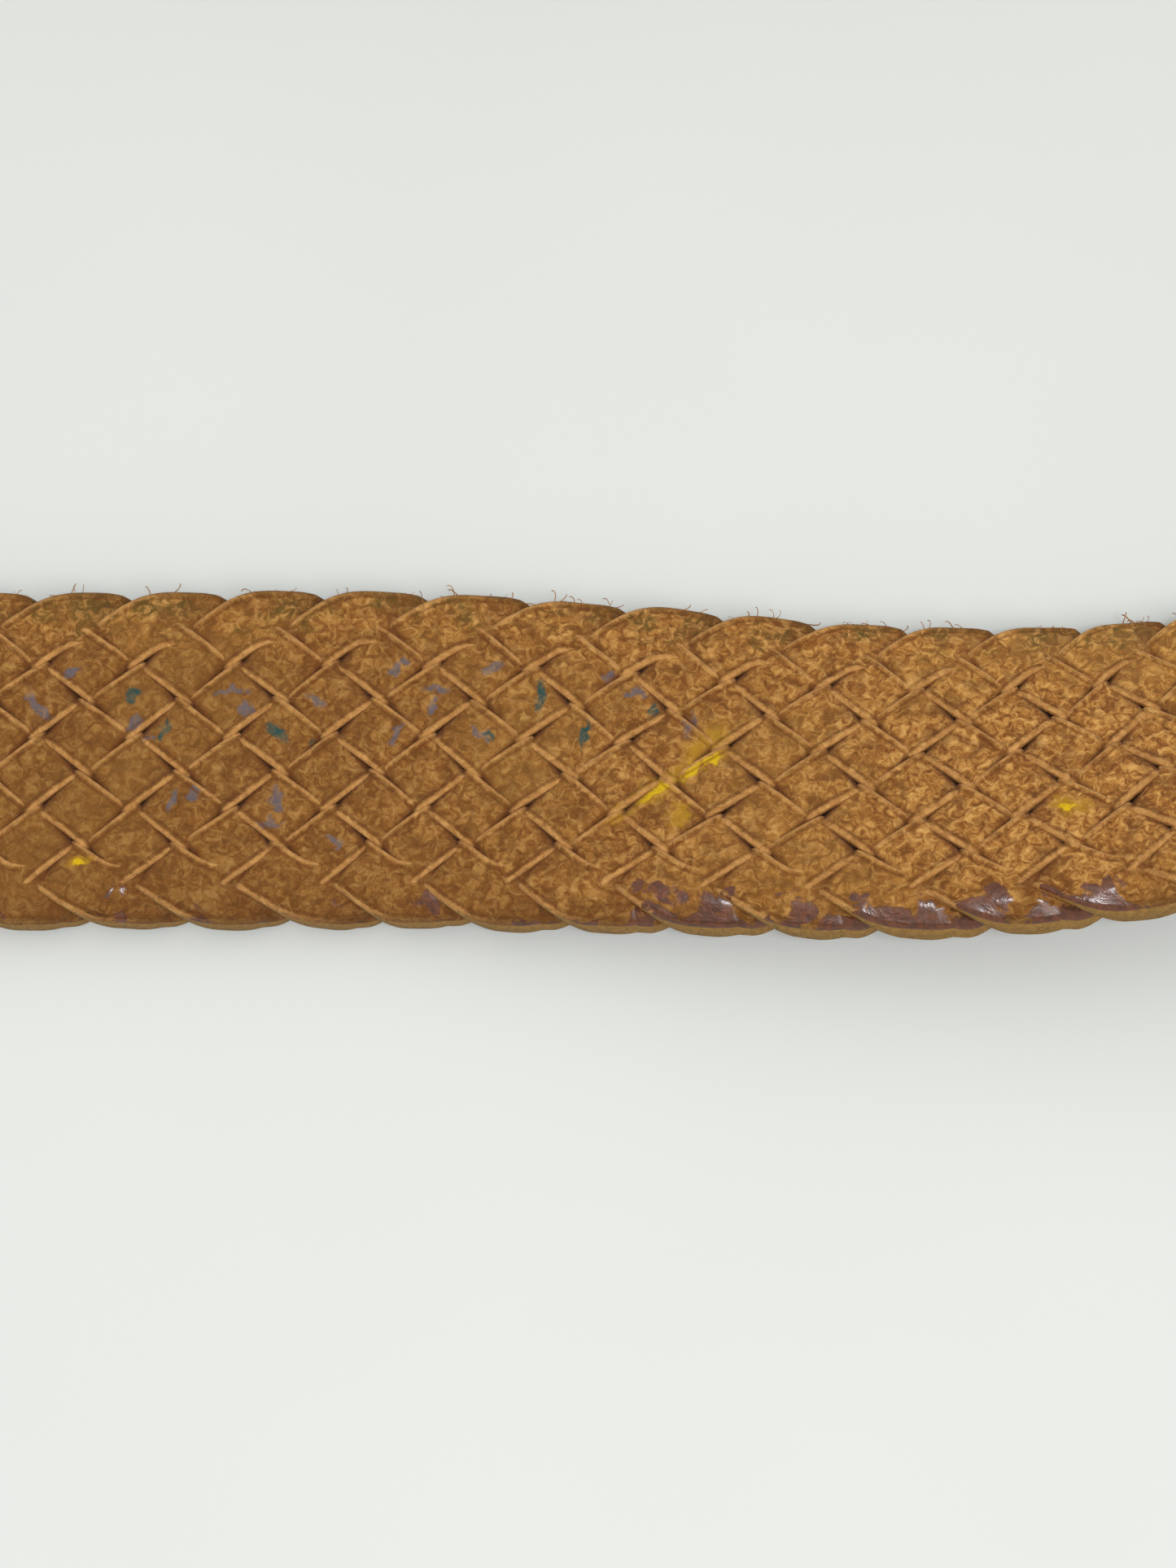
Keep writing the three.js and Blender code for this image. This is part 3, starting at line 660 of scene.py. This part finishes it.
def makeThong(index):
    rng = np.random.default_rng(11 + index)
    start = plaitStart / mm - thong["intoChape"]
    end = plaitEnd / mm + thong["intoChape"]
    middleOfView = distanceAt(0, restLine) / mm
    phase = (middleOfView + thong["firstTurn"] + index * thong["pitch"]) % (2 * crossingSpan)
    distance = thongSteps(start, end, phase)

    def centre(d):
        way, fromTurn = thongSpan(d, phase)
        return thongAcross(fromTurn) * way
    way, fromTurn = thongSpan(distance, phase)
    turning = 1 - smooth(0.8, 3.4, np.minimum(fromTurn, crossingSpan - fromTurn))
    outward = np.where((way > 0) == (fromTurn < crossingSpan / 2), 1, -1)
    across = centre(distance) + wander(distance, rng, thong["stray"])
    slant = np.arctan2(centre(distance + 0.05) - centre(distance - 0.05), 0.1)
    half = thong["width"] / 2 * (1 + wander(distance, rng, thong["widthStray"]))
    lift = wander(distance, rng, thong["liftStray"])

    held = 1 - smooth(3, 14, np.minimum(distance - start, end - distance))
    across = across * (1 - thong["drawnIn"] * held)
    thickness = thong["thickness"] * (1 - thong["pressed"] * held)
    upper, lower = thongHeights(fromTurn)
    perStep = [values[:, None] for values in (upper, lower, thickness, turning, outward, lift)]
    side, out = thongOutline(*perStep)
    sideways = side * half[:, None]
    s = distance[:, None] - np.sin(slant)[:, None] * sideways
    a = across[:, None] + np.cos(slant)[:, None] * sideways
    rings = onRein(s * mm, a * mm, out * mm)
    shape, height = (np.broadcast_to(values, s.shape) for values in (side, upper[:, None]))
    # The rings run the other way round, so that faces point outwards.
    slots = [2] * (len(undersidePoints) - 1) + [1] + [0] * (len(topPoints) - 1) + [1]
    materials = (fleshMaterial, edgeMaterial, grainMaterial)
    return tube(f"thong_strip_{index + 1}", rings[:, ::-1], materials, slots, attributes={
        "onRein": np.stack([s, a, out], axis=-1)[:, ::-1],
        "onThong": np.stack([s, shape, height], axis=-1)[:, ::-1]})


thongStrips = [makeThong(i) for i in range(thong["count"])]
for i, strip in enumerate(thongStrips):
    others = ("rising_plait", "coiled_plait", "inner_plait") if i == 0 else ()
    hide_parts(f"thong_{i + 1}", *others)
    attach(strip, "rein")

print("the plait is made:", round(plaitEnd - plaitStart, 3), "m long")


# ---- what the bit ends are made of

# Bridle leather: stuffed with wax, dyed through the grain, creased along both edges.
def bridleLeather():
    material, tree, shader = newMaterial("waxed bridle leather")
    place = add(tree, "ShaderNodeTexCoord").outputs["Object"]
    strap = add(tree, "ShaderNodeUVMap", uv_map="onStrap").outputs["UV"]
    inFromEdge = add(tree, "ShaderNodeSeparateXYZ", {"Vector": strap}).outputs[1]
    cloud = noise(tree, place, 6 * mm, 4, 0.55)
    fine = noise(tree, place, 0.9 * mm, 4, 0.6)
    colour = ramp(tree, cloud, (0.30, "#38190C"), (0.52, "#532A16"), (0.72, "#6E3C20"))
    colour = mixed(tree, times(tree, between(tree, fine, 0.45, 0.68), 0.35), colour, "#2A150D")
    edgeDye = between(tree, inFromEdge, 1.3, 0.2)
    colour = mixed(tree, times(tree, edgeDye, 0.7), colour, "#20100A")
    scuffs = between(tree, noise(tree, place, 2.2 * mm, 6, 0.72, 0.8), 0.60, 0.70)
    colour = mixed(tree, times(tree, scuffs, 0.35), colour, "#80502F")
    tree.links.new(colour, shader.inputs["Base Color"])
    rough = sums(tree, "ADD", rescaled(tree, cloud, 0.34, 0.50), times(tree, scuffs, 0.2))
    tree.links.new(rough, shader.inputs["Roughness"])
    shader.inputs["Coat Weight"].default_value = 0.12
    shader.inputs["Coat Roughness"].default_value = 0.3
    pores = add(tree, "ShaderNodeTexVoronoi", {
        "Vector": place, "Scale": 1 / (0.42 * mm)}, feature="SMOOTH_F1").outputs["Distance"]
    fromCrease = sums(tree, "ABSOLUTE", sums(tree, "SUBTRACT", inFromEdge, 1.9))
    crease = between(tree, fromCrease, 0.32, 0.04)
    normal = bumped(tree, pores, 0.04 * mm, 0.6)
    normal = bumped(tree, fine, 0.05 * mm, 0.5, normal)
    normal = bumped(tree, times(tree, crease, -1), 0.22 * mm, 0.9, normal)
    tree.links.new(normal, shader.inputs["Normal"])
    return material


# The edges of the straps, rubbed smooth with dye and wax.
def rubbedEdge():
    material, tree, shader = newMaterial("rubbed leather edge")
    place = add(tree, "ShaderNodeTexCoord").outputs["Object"]
    layers = noise(tree, place, 0.7 * mm, 4, 0.6)
    tree.links.new(ramp(tree, layers, (0.3, "#180C08"), (0.7, "#33190F")), shader.inputs["Base Color"])
    shader.inputs["Roughness"].default_value = 0.34
    tree.links.new(bumped(tree, layers, 0.06 * mm, 0.6), shader.inputs["Normal"])
    return material


# The inner face of the straps: the flesh side, sealed and brown.
def strapFlesh():
    material, tree, shader = newMaterial("sealed flesh side")
    place = add(tree, "ShaderNodeTexCoord").outputs["Object"]
    nap = noise(tree, place, 0.5 * mm, 5, 0.65, 1.0)
    cloud = noise(tree, place, 5 * mm, 3, 0.5)
    colour = ramp(tree, nap, (0.34, "#4A2C1A"), (0.5, "#6B4226"), (0.68, "#8A5C38"))
    colour = mixed(tree, times(tree, between(tree, cloud, 0.42, 0.62), 0.4), colour, "#54331F")
    tree.links.new(colour, shader.inputs["Base Color"])
    shader.inputs["Roughness"].default_value = 0.78
    tree.links.new(bumped(tree, nap, 0.10 * mm, 0.8), shader.inputs["Normal"])
    return material


def waxedThread():
    material, tree, shader = newMaterial("waxed linen thread")
    place = add(tree, "ShaderNodeTexCoord").outputs["Object"]
    twist = add(tree, "ShaderNodeTexWave", {
        "Vector": place, "Scale": 1 / (3.2 * mm), "Distortion": 1.5, "Detail": 1},
        bands_direction="DIAGONAL").outputs["Fac"]
    fuzz = noise(tree, place, 0.2 * mm, 3, 0.6)
    colour = mixed(tree, twist, "#9C8153", "#C8AF7E")
    tree.links.new(mixed(tree, times(tree, fuzz, 0.35), colour, "#7A5E38"),
                   shader.inputs["Base Color"])
    shader.inputs["Roughness"].default_value = 0.55
    tree.links.new(bumped(tree, sums(tree, "ADD", twist, fuzz), 0.10 * mm, 0.8), shader.inputs["Normal"])
    return material


# Cast stainless steel, tumbled and hand polished: bright, with soft ripples and fine hairlines.
def castSteel():
    material, tree, shader = newMaterial("cast stainless steel")
    place = add(tree, "ShaderNodeTexCoord").outputs["Object"]
    ripple = noise(tree, place, 4 * mm, 3, 0.5)
    smears = noise(tree, place, 1.6 * mm, 5, 0.7, 1.2)
    brushed = add(tree, "ShaderNodeMapping", {"Vector": place, "Scale": (1, 14, 14)}).outputs["Vector"]
    hairs = noise(tree, brushed, 2.4 * mm, 4, 0.75)
    tree.links.new(ramp(tree, smears, (0.35, "#A9A8A2"), (0.65, "#CFCEC8")), shader.inputs["Base Color"])
    shader.inputs["Metallic"].default_value = 1.0
    tree.links.new(rescaled(tree, smears, 0.14, 0.34), shader.inputs["Roughness"])
    normal = bumped(tree, ripple, 0.12 * mm, 0.5)
    tree.links.new(bumped(tree, hairs, 0.02 * mm, 0.5, normal), shader.inputs["Normal"])
    return material


strapMaterials = (bridleLeather(), rubbedEdge(), strapFlesh())
threadMaterial = waxedThread()
steelMaterial = castSteel()


# ---- the bit ends
# Each in its own frame, in mm: x outward from the plait, y across, z out of the flesh side.

bitEnds = {
    "outer": {"distance": plaitStart, "way": -1},
    "inner": {"distance": plaitEnd, "way": 1},
}
buckle = {
    "barPlace": 56,        # from the plait's end
    "barRadius": 2,
    "length": 29,
    "rim": 4.6,            # width of the casting round the opening
    "thickness": 4,
    "insideHalf": 13.3,
    "cornerRadius": 2.7,
    "toeGroove": 0.45,     # depth of the rest for the tongue
    "tongueWidth": 3.6,
    "tongueThickness": 2.2,
    "eyeWall": 1.7,
    "gap": 0.3,
}
chape = {
    "width": 25,
    "thickness": 2.6,
    "plyPlace": 2.0,       # middle of each ply, from the rein's middle
    "mouthBulge": 0.42,    # more room for the plait at the mouth
    "pressed": 1.25,       # how far the lower ply is drawn up by the sewing
    "foldLength": 14,
    "holeWidth": 6,        # the slot for the tongue, and how far it reaches back from the bar
    "holeBack": 13,
}
billet = {
    "start": 6,
    "tip": 151,
    "width": 22,
    "thickness": 3,
    "place": 5.1,
    "point": 10,           # length of the rounded point
    "holes": 4,
    "holeRadius": 2.2,
    "holeSpacing": 13,
    "holeInset": 26,       # the first hole's place, back from the tip
}
keepers = {
    "insideHalf": 13.2,
    "fleshInside": 7.3,
    "grainInside": -6.9,
    "wall": 1.6,
    "corner": 2.6,
    "places": {"fixed_keeper": (34, 8), "running_keeper": (12, 10)},    # start and width
}
foldRadius = buckle["barRadius"] + buckle["gap"] + chape["thickness"] / 2
barDepth = chape["plyPlace"] - foldRadius


def bent(end, points):
    x, y, z = (points[..., i] * mm for i in range(3))
    return onRein(end["distance"] + end["way"] * x, end["way"] * y, z)


def placed(end, at, points):
    distance = np.array(end["distance"] + end["way"] * at * mm)
    across = alongRoute(routeAcross, distance) * end["way"]
    out = alongRoute(routeOut, distance)
    axes = np.stack([np.cross(across, out), across, out])
    return alongRoute(routePlace, distance) + points * mm @ axes


# Sections along a line in x and z, each a y and a height on the line's left: the outer face.
def stripRings(line, sections):
    way = np.gradient(line, axis=0)
    way /= np.linalg.norm(way, axis=1, keepdims=True)
    left = np.stack([-way[:, 1], way[:, 0]], axis=-1)
    y, height = sections[..., 0], sections[..., 1]
    x = line[:, :1] + left[:, :1] * height
    z = line[:, 1:] + left[:, 1:] * height
    return np.stack([x, y, z], axis=-1)


# A leather strap's section has its outer face first, then the edges and the inner face.
def strapSection(width, thickness, edge=0.55, steps=3):
    half, inner = thickness / 2, width / 2 - 2 * edge
    points = roundedSection(width, thickness, edge, steps)
    corner = steps + 1
    upper = [(share * inner, half) for share in (1, 0.5, 0, -0.5, -1)]
    lower = [(share * inner, -half) for share in (-1, 0, 1)]
    rows = [points[:corner], upper, points[corner:3 * corner], lower, points[3 * corner:]]
    slots = [1] * steps + [0] * (len(upper) + 1) + [1] * (2 * corner - 1)
    slots += [2] * (len(lower) + 1) + [1] * corner
    return np.vstack(rows), slots


# The strap follows a line in its end's own frame; its UV map says how far along it and how far in
# from its edge a place is.
def strapPiece(name, end, line, widths, thickness):
    line, widths = np.array(line, float), np.array(widths, float)[:, None]
    section, slots = strapSection(widths[0, 0], thickness)
    across = section[:, 0] * (widths / widths[0])
    sections = np.stack([across, np.broadcast_to(section[:, 1], across.shape)], axis=-1)
    run = np.concatenate([[0], np.cumsum(np.linalg.norm(np.diff(line, axis=0), axis=1))])
    onStrap = np.stack([np.broadcast_to(run[:, None], across.shape), widths / 2 - np.abs(across)], axis=-1)
    rings = bent(end, stripRings(line, sections))
    return tube(name, rings, strapMaterials, slots, uvMap=("onStrap", onStrap))


# Cuts a hole through a piece, and keeps the cut sharp.
def cutHoles(piece, cutters):
    scene = bpy.context.scene
    for cutter in cutters:
        modifier = piece.modifiers.new("hole", "BOOLEAN")
        modifier.operation = "DIFFERENCE"
        modifier.object = cutter
        modifier.solver = "EXACT"
    depsgraph = bpy.context.evaluated_depsgraph_get()
    cut = bpy.data.meshes.new_from_object(piece.evaluated_get(depsgraph), depsgraph=depsgraph)
    piece.modifiers.clear()
    piece.data = cut
    for cutter in cutters:
        scene.collection.objects.unlink(cutter)
        bpy.data.objects.remove(cutter)
    piece.data.set_sharp_from_angle(angle=math.radians(38))


# A punch with that outline, upright at a place along a bit end.
def punch(end, at, outline, low, high):
    rings = np.array([[(x, y, z) for x, y in outline] for z in (low, high)], float)
    return tube("punch", placed(end, at, rings), strapMaterials, [1] * len(outline))


def bulge(x):
    return chape["mouthBulge"] * (1 - smooth(2, 9, x))


def drawnUp(x):
    return chape["pressed"] * smooth(4, 12, x) * (1 - smooth(35, 43, x))


# One strip: out along the flesh side, round the bar, and back along the grain side.
def makeChape(name, end):
    ply, fold, bar = chape["plyPlace"], foldRadius, buckle["barPlace"]
    straight = np.arange(0.3, bar - 2, 1.8)
    line = [(x, ply + bulge(x)) for x in straight]
    for angle in np.radians(np.linspace(90, -90, 22)):
        line.append((bar + fold * math.cos(angle), barDepth + fold * math.sin(angle)))
    drop = barDepth - fold + ply
    for x in straight[straight < bar - 1.5][::-1]:
        share = smooth(bar - chape["foldLength"], bar - 1.5, x)
        line.append((x, -ply - bulge(x) + drawnUp(x) + drop * share))
    strap = strapPiece(name, end, line, [chape["width"]] * len(line), chape["thickness"])
    half, past = chape["holeWidth"] / 2, 2.5 * fold
    slot = [(past, half)]
    for angle in np.radians(np.linspace(90, 270, 17)):
        slot.append((half * (1 + math.cos(angle)) - chape["holeBack"], half * math.sin(angle)))
    slot.append((past, -half))
    cutHoles(strap, [punch(end, bar, slot, barDepth - 12, barDepth + 12)])
    return strap


def makeBillet(name, end):
    tip, point, place = billet["tip"], billet["point"], billet["place"]
    fromTip = point * np.array([1, 0.9, 0.8, 0.7, 0.6, 0.5, 0.4, 0.3, 0.22, 0.15, 0.09, 0.05, 0.02])
    xs = np.concatenate([np.arange(billet["start"], tip - point, 1.5), tip - fromTip])
    left = np.minimum(np.maximum(tip - xs, 0.25) / point, 1)
    widths = billet["width"] * np.sin(math.pi / 2 * left)
    strap = strapPiece(name, end, [(x, place) for x in xs], widths, billet["thickness"])
    radius = billet["holeRadius"]
    hole = [(radius * math.cos(t), radius * math.sin(t)) for t in np.radians(np.arange(0, 360, 15))]
    places = [tip - billet["holeInset"] - i * billet["holeSpacing"] for i in range(billet["holes"])]
    cutHoles(strap, [punch(end, at, hole, place - 4, place + 4) for at in places])
    return strap


# A rectangle with round corners, anticlockwise, with the direction at each point.
def roundedLoop(x0, y0, x1, y1, radius, step):
    places, ways = [], []
    corners = ((x1, y0, -90), (x1, y1, 0), (x0, y1, 90), (x0, y0, 180))
    for x, y, first in corners:
        cx = x + (radius if x == x0 else -radius)
        cy = y + (radius if y == y0 else -radius)
        for angle in np.radians(np.linspace(first, first + 90, 9)):
            places.append((cx + radius * math.cos(angle), cy + radius * math.sin(angle)))
            ways.append((-math.sin(angle), math.cos(angle)))
    places, ways = np.array(places), np.array(ways)
    allPlaces, allWays = [], []
    for i in range(len(places)):
        following = (i + 1) % len(places)
        count = max(1, round(np.linalg.norm(places[following] - places[i]) / step))
        for t in np.arange(count) / count:
            allPlaces.append(places[i] * (1 - t) + places[following] * t)
            way = ways[i] * (1 - t) + ways[following] * t
            allWays.append(way / np.linalg.norm(way))
    return np.array(allPlaces), np.array(allWays)


def makeKeeper(name, end, at, width):
    wall, half = keepers["wall"], keepers["insideHalf"] + keepers["wall"] / 2
    low, high = keepers["grainInside"] - wall / 2, keepers["fleshInside"] + wall / 2
    path, way = roundedLoop(-half, low, half, high, keepers["corner"], 1.6)
    section, slots = strapSection(width, wall, 0.4)
    outer = np.stack([way[:, 1], -way[:, 0]], axis=-1)
    x = np.broadcast_to(section[:, 0] + width / 2, (len(path), len(section)))
    y = path[:, :1] + outer[:, :1] * section[None, :, 1]
    z = path[:, 1:] + outer[:, 1:] * section[None, :, 1]
    rings = np.stack([x, y, z], axis=-1)
    run = np.broadcast_to(np.arange(len(path))[:, None], x.shape)
    onStrap = np.stack([run, width / 2 - np.abs(x - width / 2)], axis=-1)
    return tube(name, placed(end, at, rings), strapMaterials, slots, loop=True, uvMap=("onStrap", onStrap))


def makeFrame(name, end):
    rim, toe = buckle["rim"], buckle["length"] - buckle["rim"]
    half = buckle["insideHalf"] + rim / 2
    path, way = roundedLoop(0, -half, toe, half, buckle["cornerRadius"], 0.9)
    flat = roundedSection(rim, buckle["thickness"], 1.45, 4)
    turn = np.arctan2(flat[:, 1] / buckle["thickness"], flat[:, 0] / rim)
    rod = buckle["barRadius"] * np.stack([np.cos(turn), np.sin(turn)], axis=-1)
    onBar = smooth(half - 1.6, half - 3.6, np.abs(path[:, 1])) * (path[:, 0] < 1)
    section = flat[None] * (1 - onBar[:, None, None]) + rod[None] * onBar[:, None, None]
    outer = np.stack([way[:, 1], -way[:, 0]], axis=-1)
    x = path[:, :1] + outer[:, :1] * section[..., 0]
    y = path[:, 1:] + outer[:, 1:] * section[..., 0]
    z = -section[..., 1]
    groove = buckle["toeGroove"] * np.exp(-(path[:, 1:] / 1.7) ** 4) * (path[:, :1] > toe - 1)
    z = np.where(z < -0.5, z + groove, z)
    rings = np.stack([x, y, z], axis=-1) + (0, 0, barDepth)
    return tube(name, placed(end, buckle["barPlace"], rings), (steelMaterial,), loop=True)


def makeTongue(name, end):
    wall, thick = buckle["eyeWall"], buckle["tongueThickness"]
    radius = buckle["barRadius"] + buckle["gap"] + wall / 2
    middle = -(buckle["thickness"] / 2 + buckle["gap"] + thick / 2)
    reach = buckle["length"] - buckle["rim"] / 2 + 0.9
    line, widths, thicks = [], [], []
    for angle in np.radians(np.linspace(-31, 270, 44)):
        line.append((radius * math.cos(angle), radius * math.sin(angle)))
        widths.append(buckle["tongueWidth"])
        thicks.append(wall)
    for share in np.linspace(0.04, 1, 30):
        x = reach * share
        settle = smooth(0, 5, x)
        droop = smooth(reach - 6, reach + 1, x)
        line.append((x, -radius * (1 - settle) + middle * settle - 0.25 * droop))
        tip = math.sqrt(max(0.03, 1 - max(0, (x - reach + 1.6) / 1.6) ** 2))
        widths.append((buckle["tongueWidth"] - 0.9 * smooth(8, reach, x)) * tip)
        thicks.append((wall + (thick - wall) * settle - 0.6 * smooth(reach - 8, reach, x)) * tip)
    unit = roundedSection(1, 1, 0.32, 4)
    sections = unit[None] * np.stack([widths, thicks], axis=-1)[:, None, :]
    rings = stripRings(np.array(line), sections) + (0, 0, barDepth)
    return tube(name, placed(end, buckle["barPlace"], rings), (steelMaterial,))


def finished(piece, node, body):
    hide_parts(node)
    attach(piece, body)


for endName, end in bitEnds.items():
    finished(makeChape(f"{endName}_chape_strap", end), f"{endName}_chape", "rein")
    finished(makeBillet(f"{endName}_point_strap", end), f"{endName}_billet", "rein")
    for kind, (at, width) in keepers["places"].items():
        body = "rein" if kind == "fixed_keeper" else f"{endName}_loose_keeper"
        keeper = makeKeeper(f"{endName}_{kind}_band", end, at, width)
        finished(keeper, f"{endName}_{kind}", body)
    rim = makeFrame(f"{endName}_buckle_rim", end)
    finished(rim, f"{endName}_buckle_frame", f"{endName}_buckle")
    pin = makeTongue(f"{endName}_buckle_pin", end)
    finished(pin, f"{endName}_buckle_tongue", f"{endName}_tongue")
print("the bit ends are made")


# ---- stitches and loose fibres, by geometry nodes

stitching = {
    "Pitch": 3.0 * mm,
    "Stitch length": 2.3 * mm,
    "Thread thickness": 0.62 * mm,
}
sewing = {                 # where the rows lie, in the bit end's frame
    "billetSide": 8.2,
    "billetFrom": 8.6,
    "billetTo": 41,
    "chapeSide": 9.8,
    "chapeFrom": 3.4,
    "chapeTo": 39.4,
    "mouth": 3.0,
}
fibreSizes = {
    "Fibre length": 0.9 * mm,
    "Fibre thickness": 0.045 * mm,
    "Fibre bend": 0.35 * mm,
}
fibreSpread = {"count": 150, "seed": 5}


def newTree(name, sizes):
    tree = bpy.data.node_groups.new(name, "GeometryNodeTree")
    tree.interface.new_socket("Geometry", in_out="INPUT", socket_type="NodeSocketGeometry")
    tree.interface.new_socket("Geometry", in_out="OUTPUT", socket_type="NodeSocketGeometry")
    for title in sizes:
        tree.interface.new_socket(title, in_out="INPUT", socket_type="NodeSocketFloat")
    return tree, add(tree, "NodeGroupInput").outputs


def closeTree(tree, instances, material):
    real = add(tree, "GeometryNodeRealizeInstances", {"Geometry": instances}).outputs["Geometry"]
    finish = add(tree, "GeometryNodeSetMaterial", {"Geometry": real, "Material": material})
    add(tree, "NodeGroupOutput", {"Geometry": finish.outputs["Geometry"]})


# Runs a tree on a piece and keeps the result as its plain mesh.
def grown(piece, tree, sizes):
    modifier = piece.modifiers.new(tree.name, "NODES")
    modifier.node_group = tree
    for item in tree.interface.items_tree:
        if item.item_type == "SOCKET" and item.in_out == "INPUT" and item.name in sizes:
            modifier[item.identifier] = sizes[item.name]
    depsgraph = bpy.context.evaluated_depsgraph_get()
    mesh = bpy.data.meshes.new_from_object(piece.evaluated_get(depsgraph), depsgraph=depsgraph)
    piece.modifiers.clear()
    piece.data = mesh
    mesh.polygons.foreach_set("use_smooth", np.ones(len(mesh.polygons), bool))
    return piece


def stitchTree():
    tree, given = newTree("saddle stitches", stitching)
    rows = add(tree, "GeometryNodeMeshToCurve", {"Mesh": given["Geometry"]}).outputs["Curve"]
    spots = add(tree, "GeometryNodeResampleCurve", {"Curve": rows, "Length": given["Pitch"]}, mode="LENGTH")
    along = add(tree, "GeometryNodeInputTangent").outputs["Tangent"]
    turn = add(tree, "FunctionNodeAlignEulerToVector", {"Vector": along}, axis="X").outputs["Rotation"]
    bead = add(tree, "GeometryNodeMeshUVSphere", {"Segments": 10, "Rings": 8, "Radius": 0.5}).outputs["Mesh"]
    size = add(tree, "ShaderNodeCombineXYZ", {
        "X": given["Stitch length"], "Y": given["Thread thickness"], "Z": given["Thread thickness"]})
    instances = add(tree, "GeometryNodeInstanceOnPoints", {
        "Points": spots.outputs["Curve"], "Instance": bead, "Rotation": turn,
        "Scale": size.outputs["Vector"]})
    closeTree(tree, instances.outputs["Instances"], threadMaterial)
    return tree


def fibreTree():
    tree, given = newTree("loose fibres", fibreSizes)
    length, bend = given["Fibre length"], given["Fibre bend"]
    middle = add(tree, "ShaderNodeCombineXYZ", {"X": bend, "Z": length}).outputs["Vector"]
    tip = add(tree, "ShaderNodeCombineXYZ", {"Y": bend, "Z": length}).outputs["Vector"]
    hair = add(tree, "GeometryNodeCurveQuadraticBezier", {
        "Resolution": 5, "Start": (0, 0, 0), "Middle": middle, "End": tip}).outputs["Curve"]
    ring = add(tree, "GeometryNodeCurvePrimitiveCircle", {
        "Resolution": 4, "Radius": given["Fibre thickness"]}).outputs["Curve"]
    strand = add(tree, "GeometryNodeCurveToMesh", {"Curve": hair, "Profile Curve": ring, "Fill Caps": True})
    tilt = add(tree, "FunctionNodeRandomValue", {
        "Min": (-1.9, -0.8, 0), "Max": (-0.3, 0.8, 6.28), "Seed": fibreSpread["seed"]},
        data_type="FLOAT_VECTOR").outputs["Value"]
    grow = add(tree, "FunctionNodeRandomValue", {
        2: 0.25, 3: 1.0, "Seed": fibreSpread["seed"] + 1}, data_type="FLOAT").outputs[1]
    instances = add(tree, "GeometryNodeInstanceOnPoints", {
        "Points": given["Geometry"], "Instance": strand.outputs["Mesh"], "Rotation": tilt, "Scale": grow})
    closeTree(tree, instances.outputs["Instances"], edgeMaterial)
    return tree


def lines(name, rows):
    vertices, edges = [], []
    for row in rows:
        first = len(vertices)
        vertices += [tuple(p) for p in row]
        edges += [(first + i, first + i + 1) for i in range(len(row) - 1)]
    mesh = bpy.data.meshes.new(name)
    mesh.from_pydata(vertices, edges, [])
    piece = bpy.data.objects.new(name, mesh)
    bpy.context.scene.collection.objects.link(piece)
    return piece


def stitchRows(end):
    top = billet["place"] + billet["thickness"] / 2 + 0.02
    under = -chape["plyPlace"] - chape["thickness"] / 2 - 0.02
    first, last, mouth = (sewing[key] for key in ("chapeFrom", "chapeTo", "mouth"))

    def across(half):
        return np.arange(-half, half + 0.1, 0.8)
    rows = []
    for side in (-sewing["billetSide"], sewing["billetSide"]):
        rows.append([(x, side, top) for x in np.arange(sewing["billetFrom"], sewing["billetTo"], 1)])
    rows.append([(sewing["billetFrom"], y, top) for y in across(5.6)])
    for side in (-sewing["chapeSide"], sewing["chapeSide"]):
        rows.append([(x, side, under - bulge(x) + drawnUp(x)) for x in np.arange(first, last + 0.1, 0.5)])
    for x in (first, last):
        rows.append([(x, y, under - bulge(x) + drawnUp(x)) for y in across(7.2)])
    rows.append([(mouth, y, bulge(mouth) - under) for y in across(10.2)])
    return [bent(end, np.array(row, float)) for row in rows]


saddleStitches = stitchTree()
for endName, end in bitEnds.items():
    stitches = grown(lines(f"{endName}_stitches", stitchRows(end)), saddleStitches, stitching)
    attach(stitches, "rein")


# Fibres stand up from the far edge of the stretch that lies flat.
def fibreRoots():
    rng = np.random.default_rng(fibreSpread["seed"])
    roots = []
    for strip in thongStrips:
        count = len(strip.data.vertices)
        place, onReinValues = np.empty(count * 3), np.empty(count * 3)
        strip.data.vertices.foreach_get("co", place)
        strip.data.attributes["onRein"].data.foreach_get("vector", onReinValues)
        place, spot = place.reshape(-1, 3), onReinValues.reshape(-1, 3)
        lying = np.abs(place[:, 0]) < 0.056
        far = lying & (spot[:, 1] > 12.2) & (spot[:, 2] > 0.4)
        roots.append(place[far & (place[:, 1] < -0.05)])
    roots = np.vstack(roots)
    return roots[rng.choice(len(roots), min(fibreSpread["count"], len(roots)), replace=False)]


fuzz = grown(lines("loose_fibres", [[p] for p in fibreRoots()]), fibreTree(), fibreSizes)
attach(fuzz, "rein")
print("stitches and fibres are in")
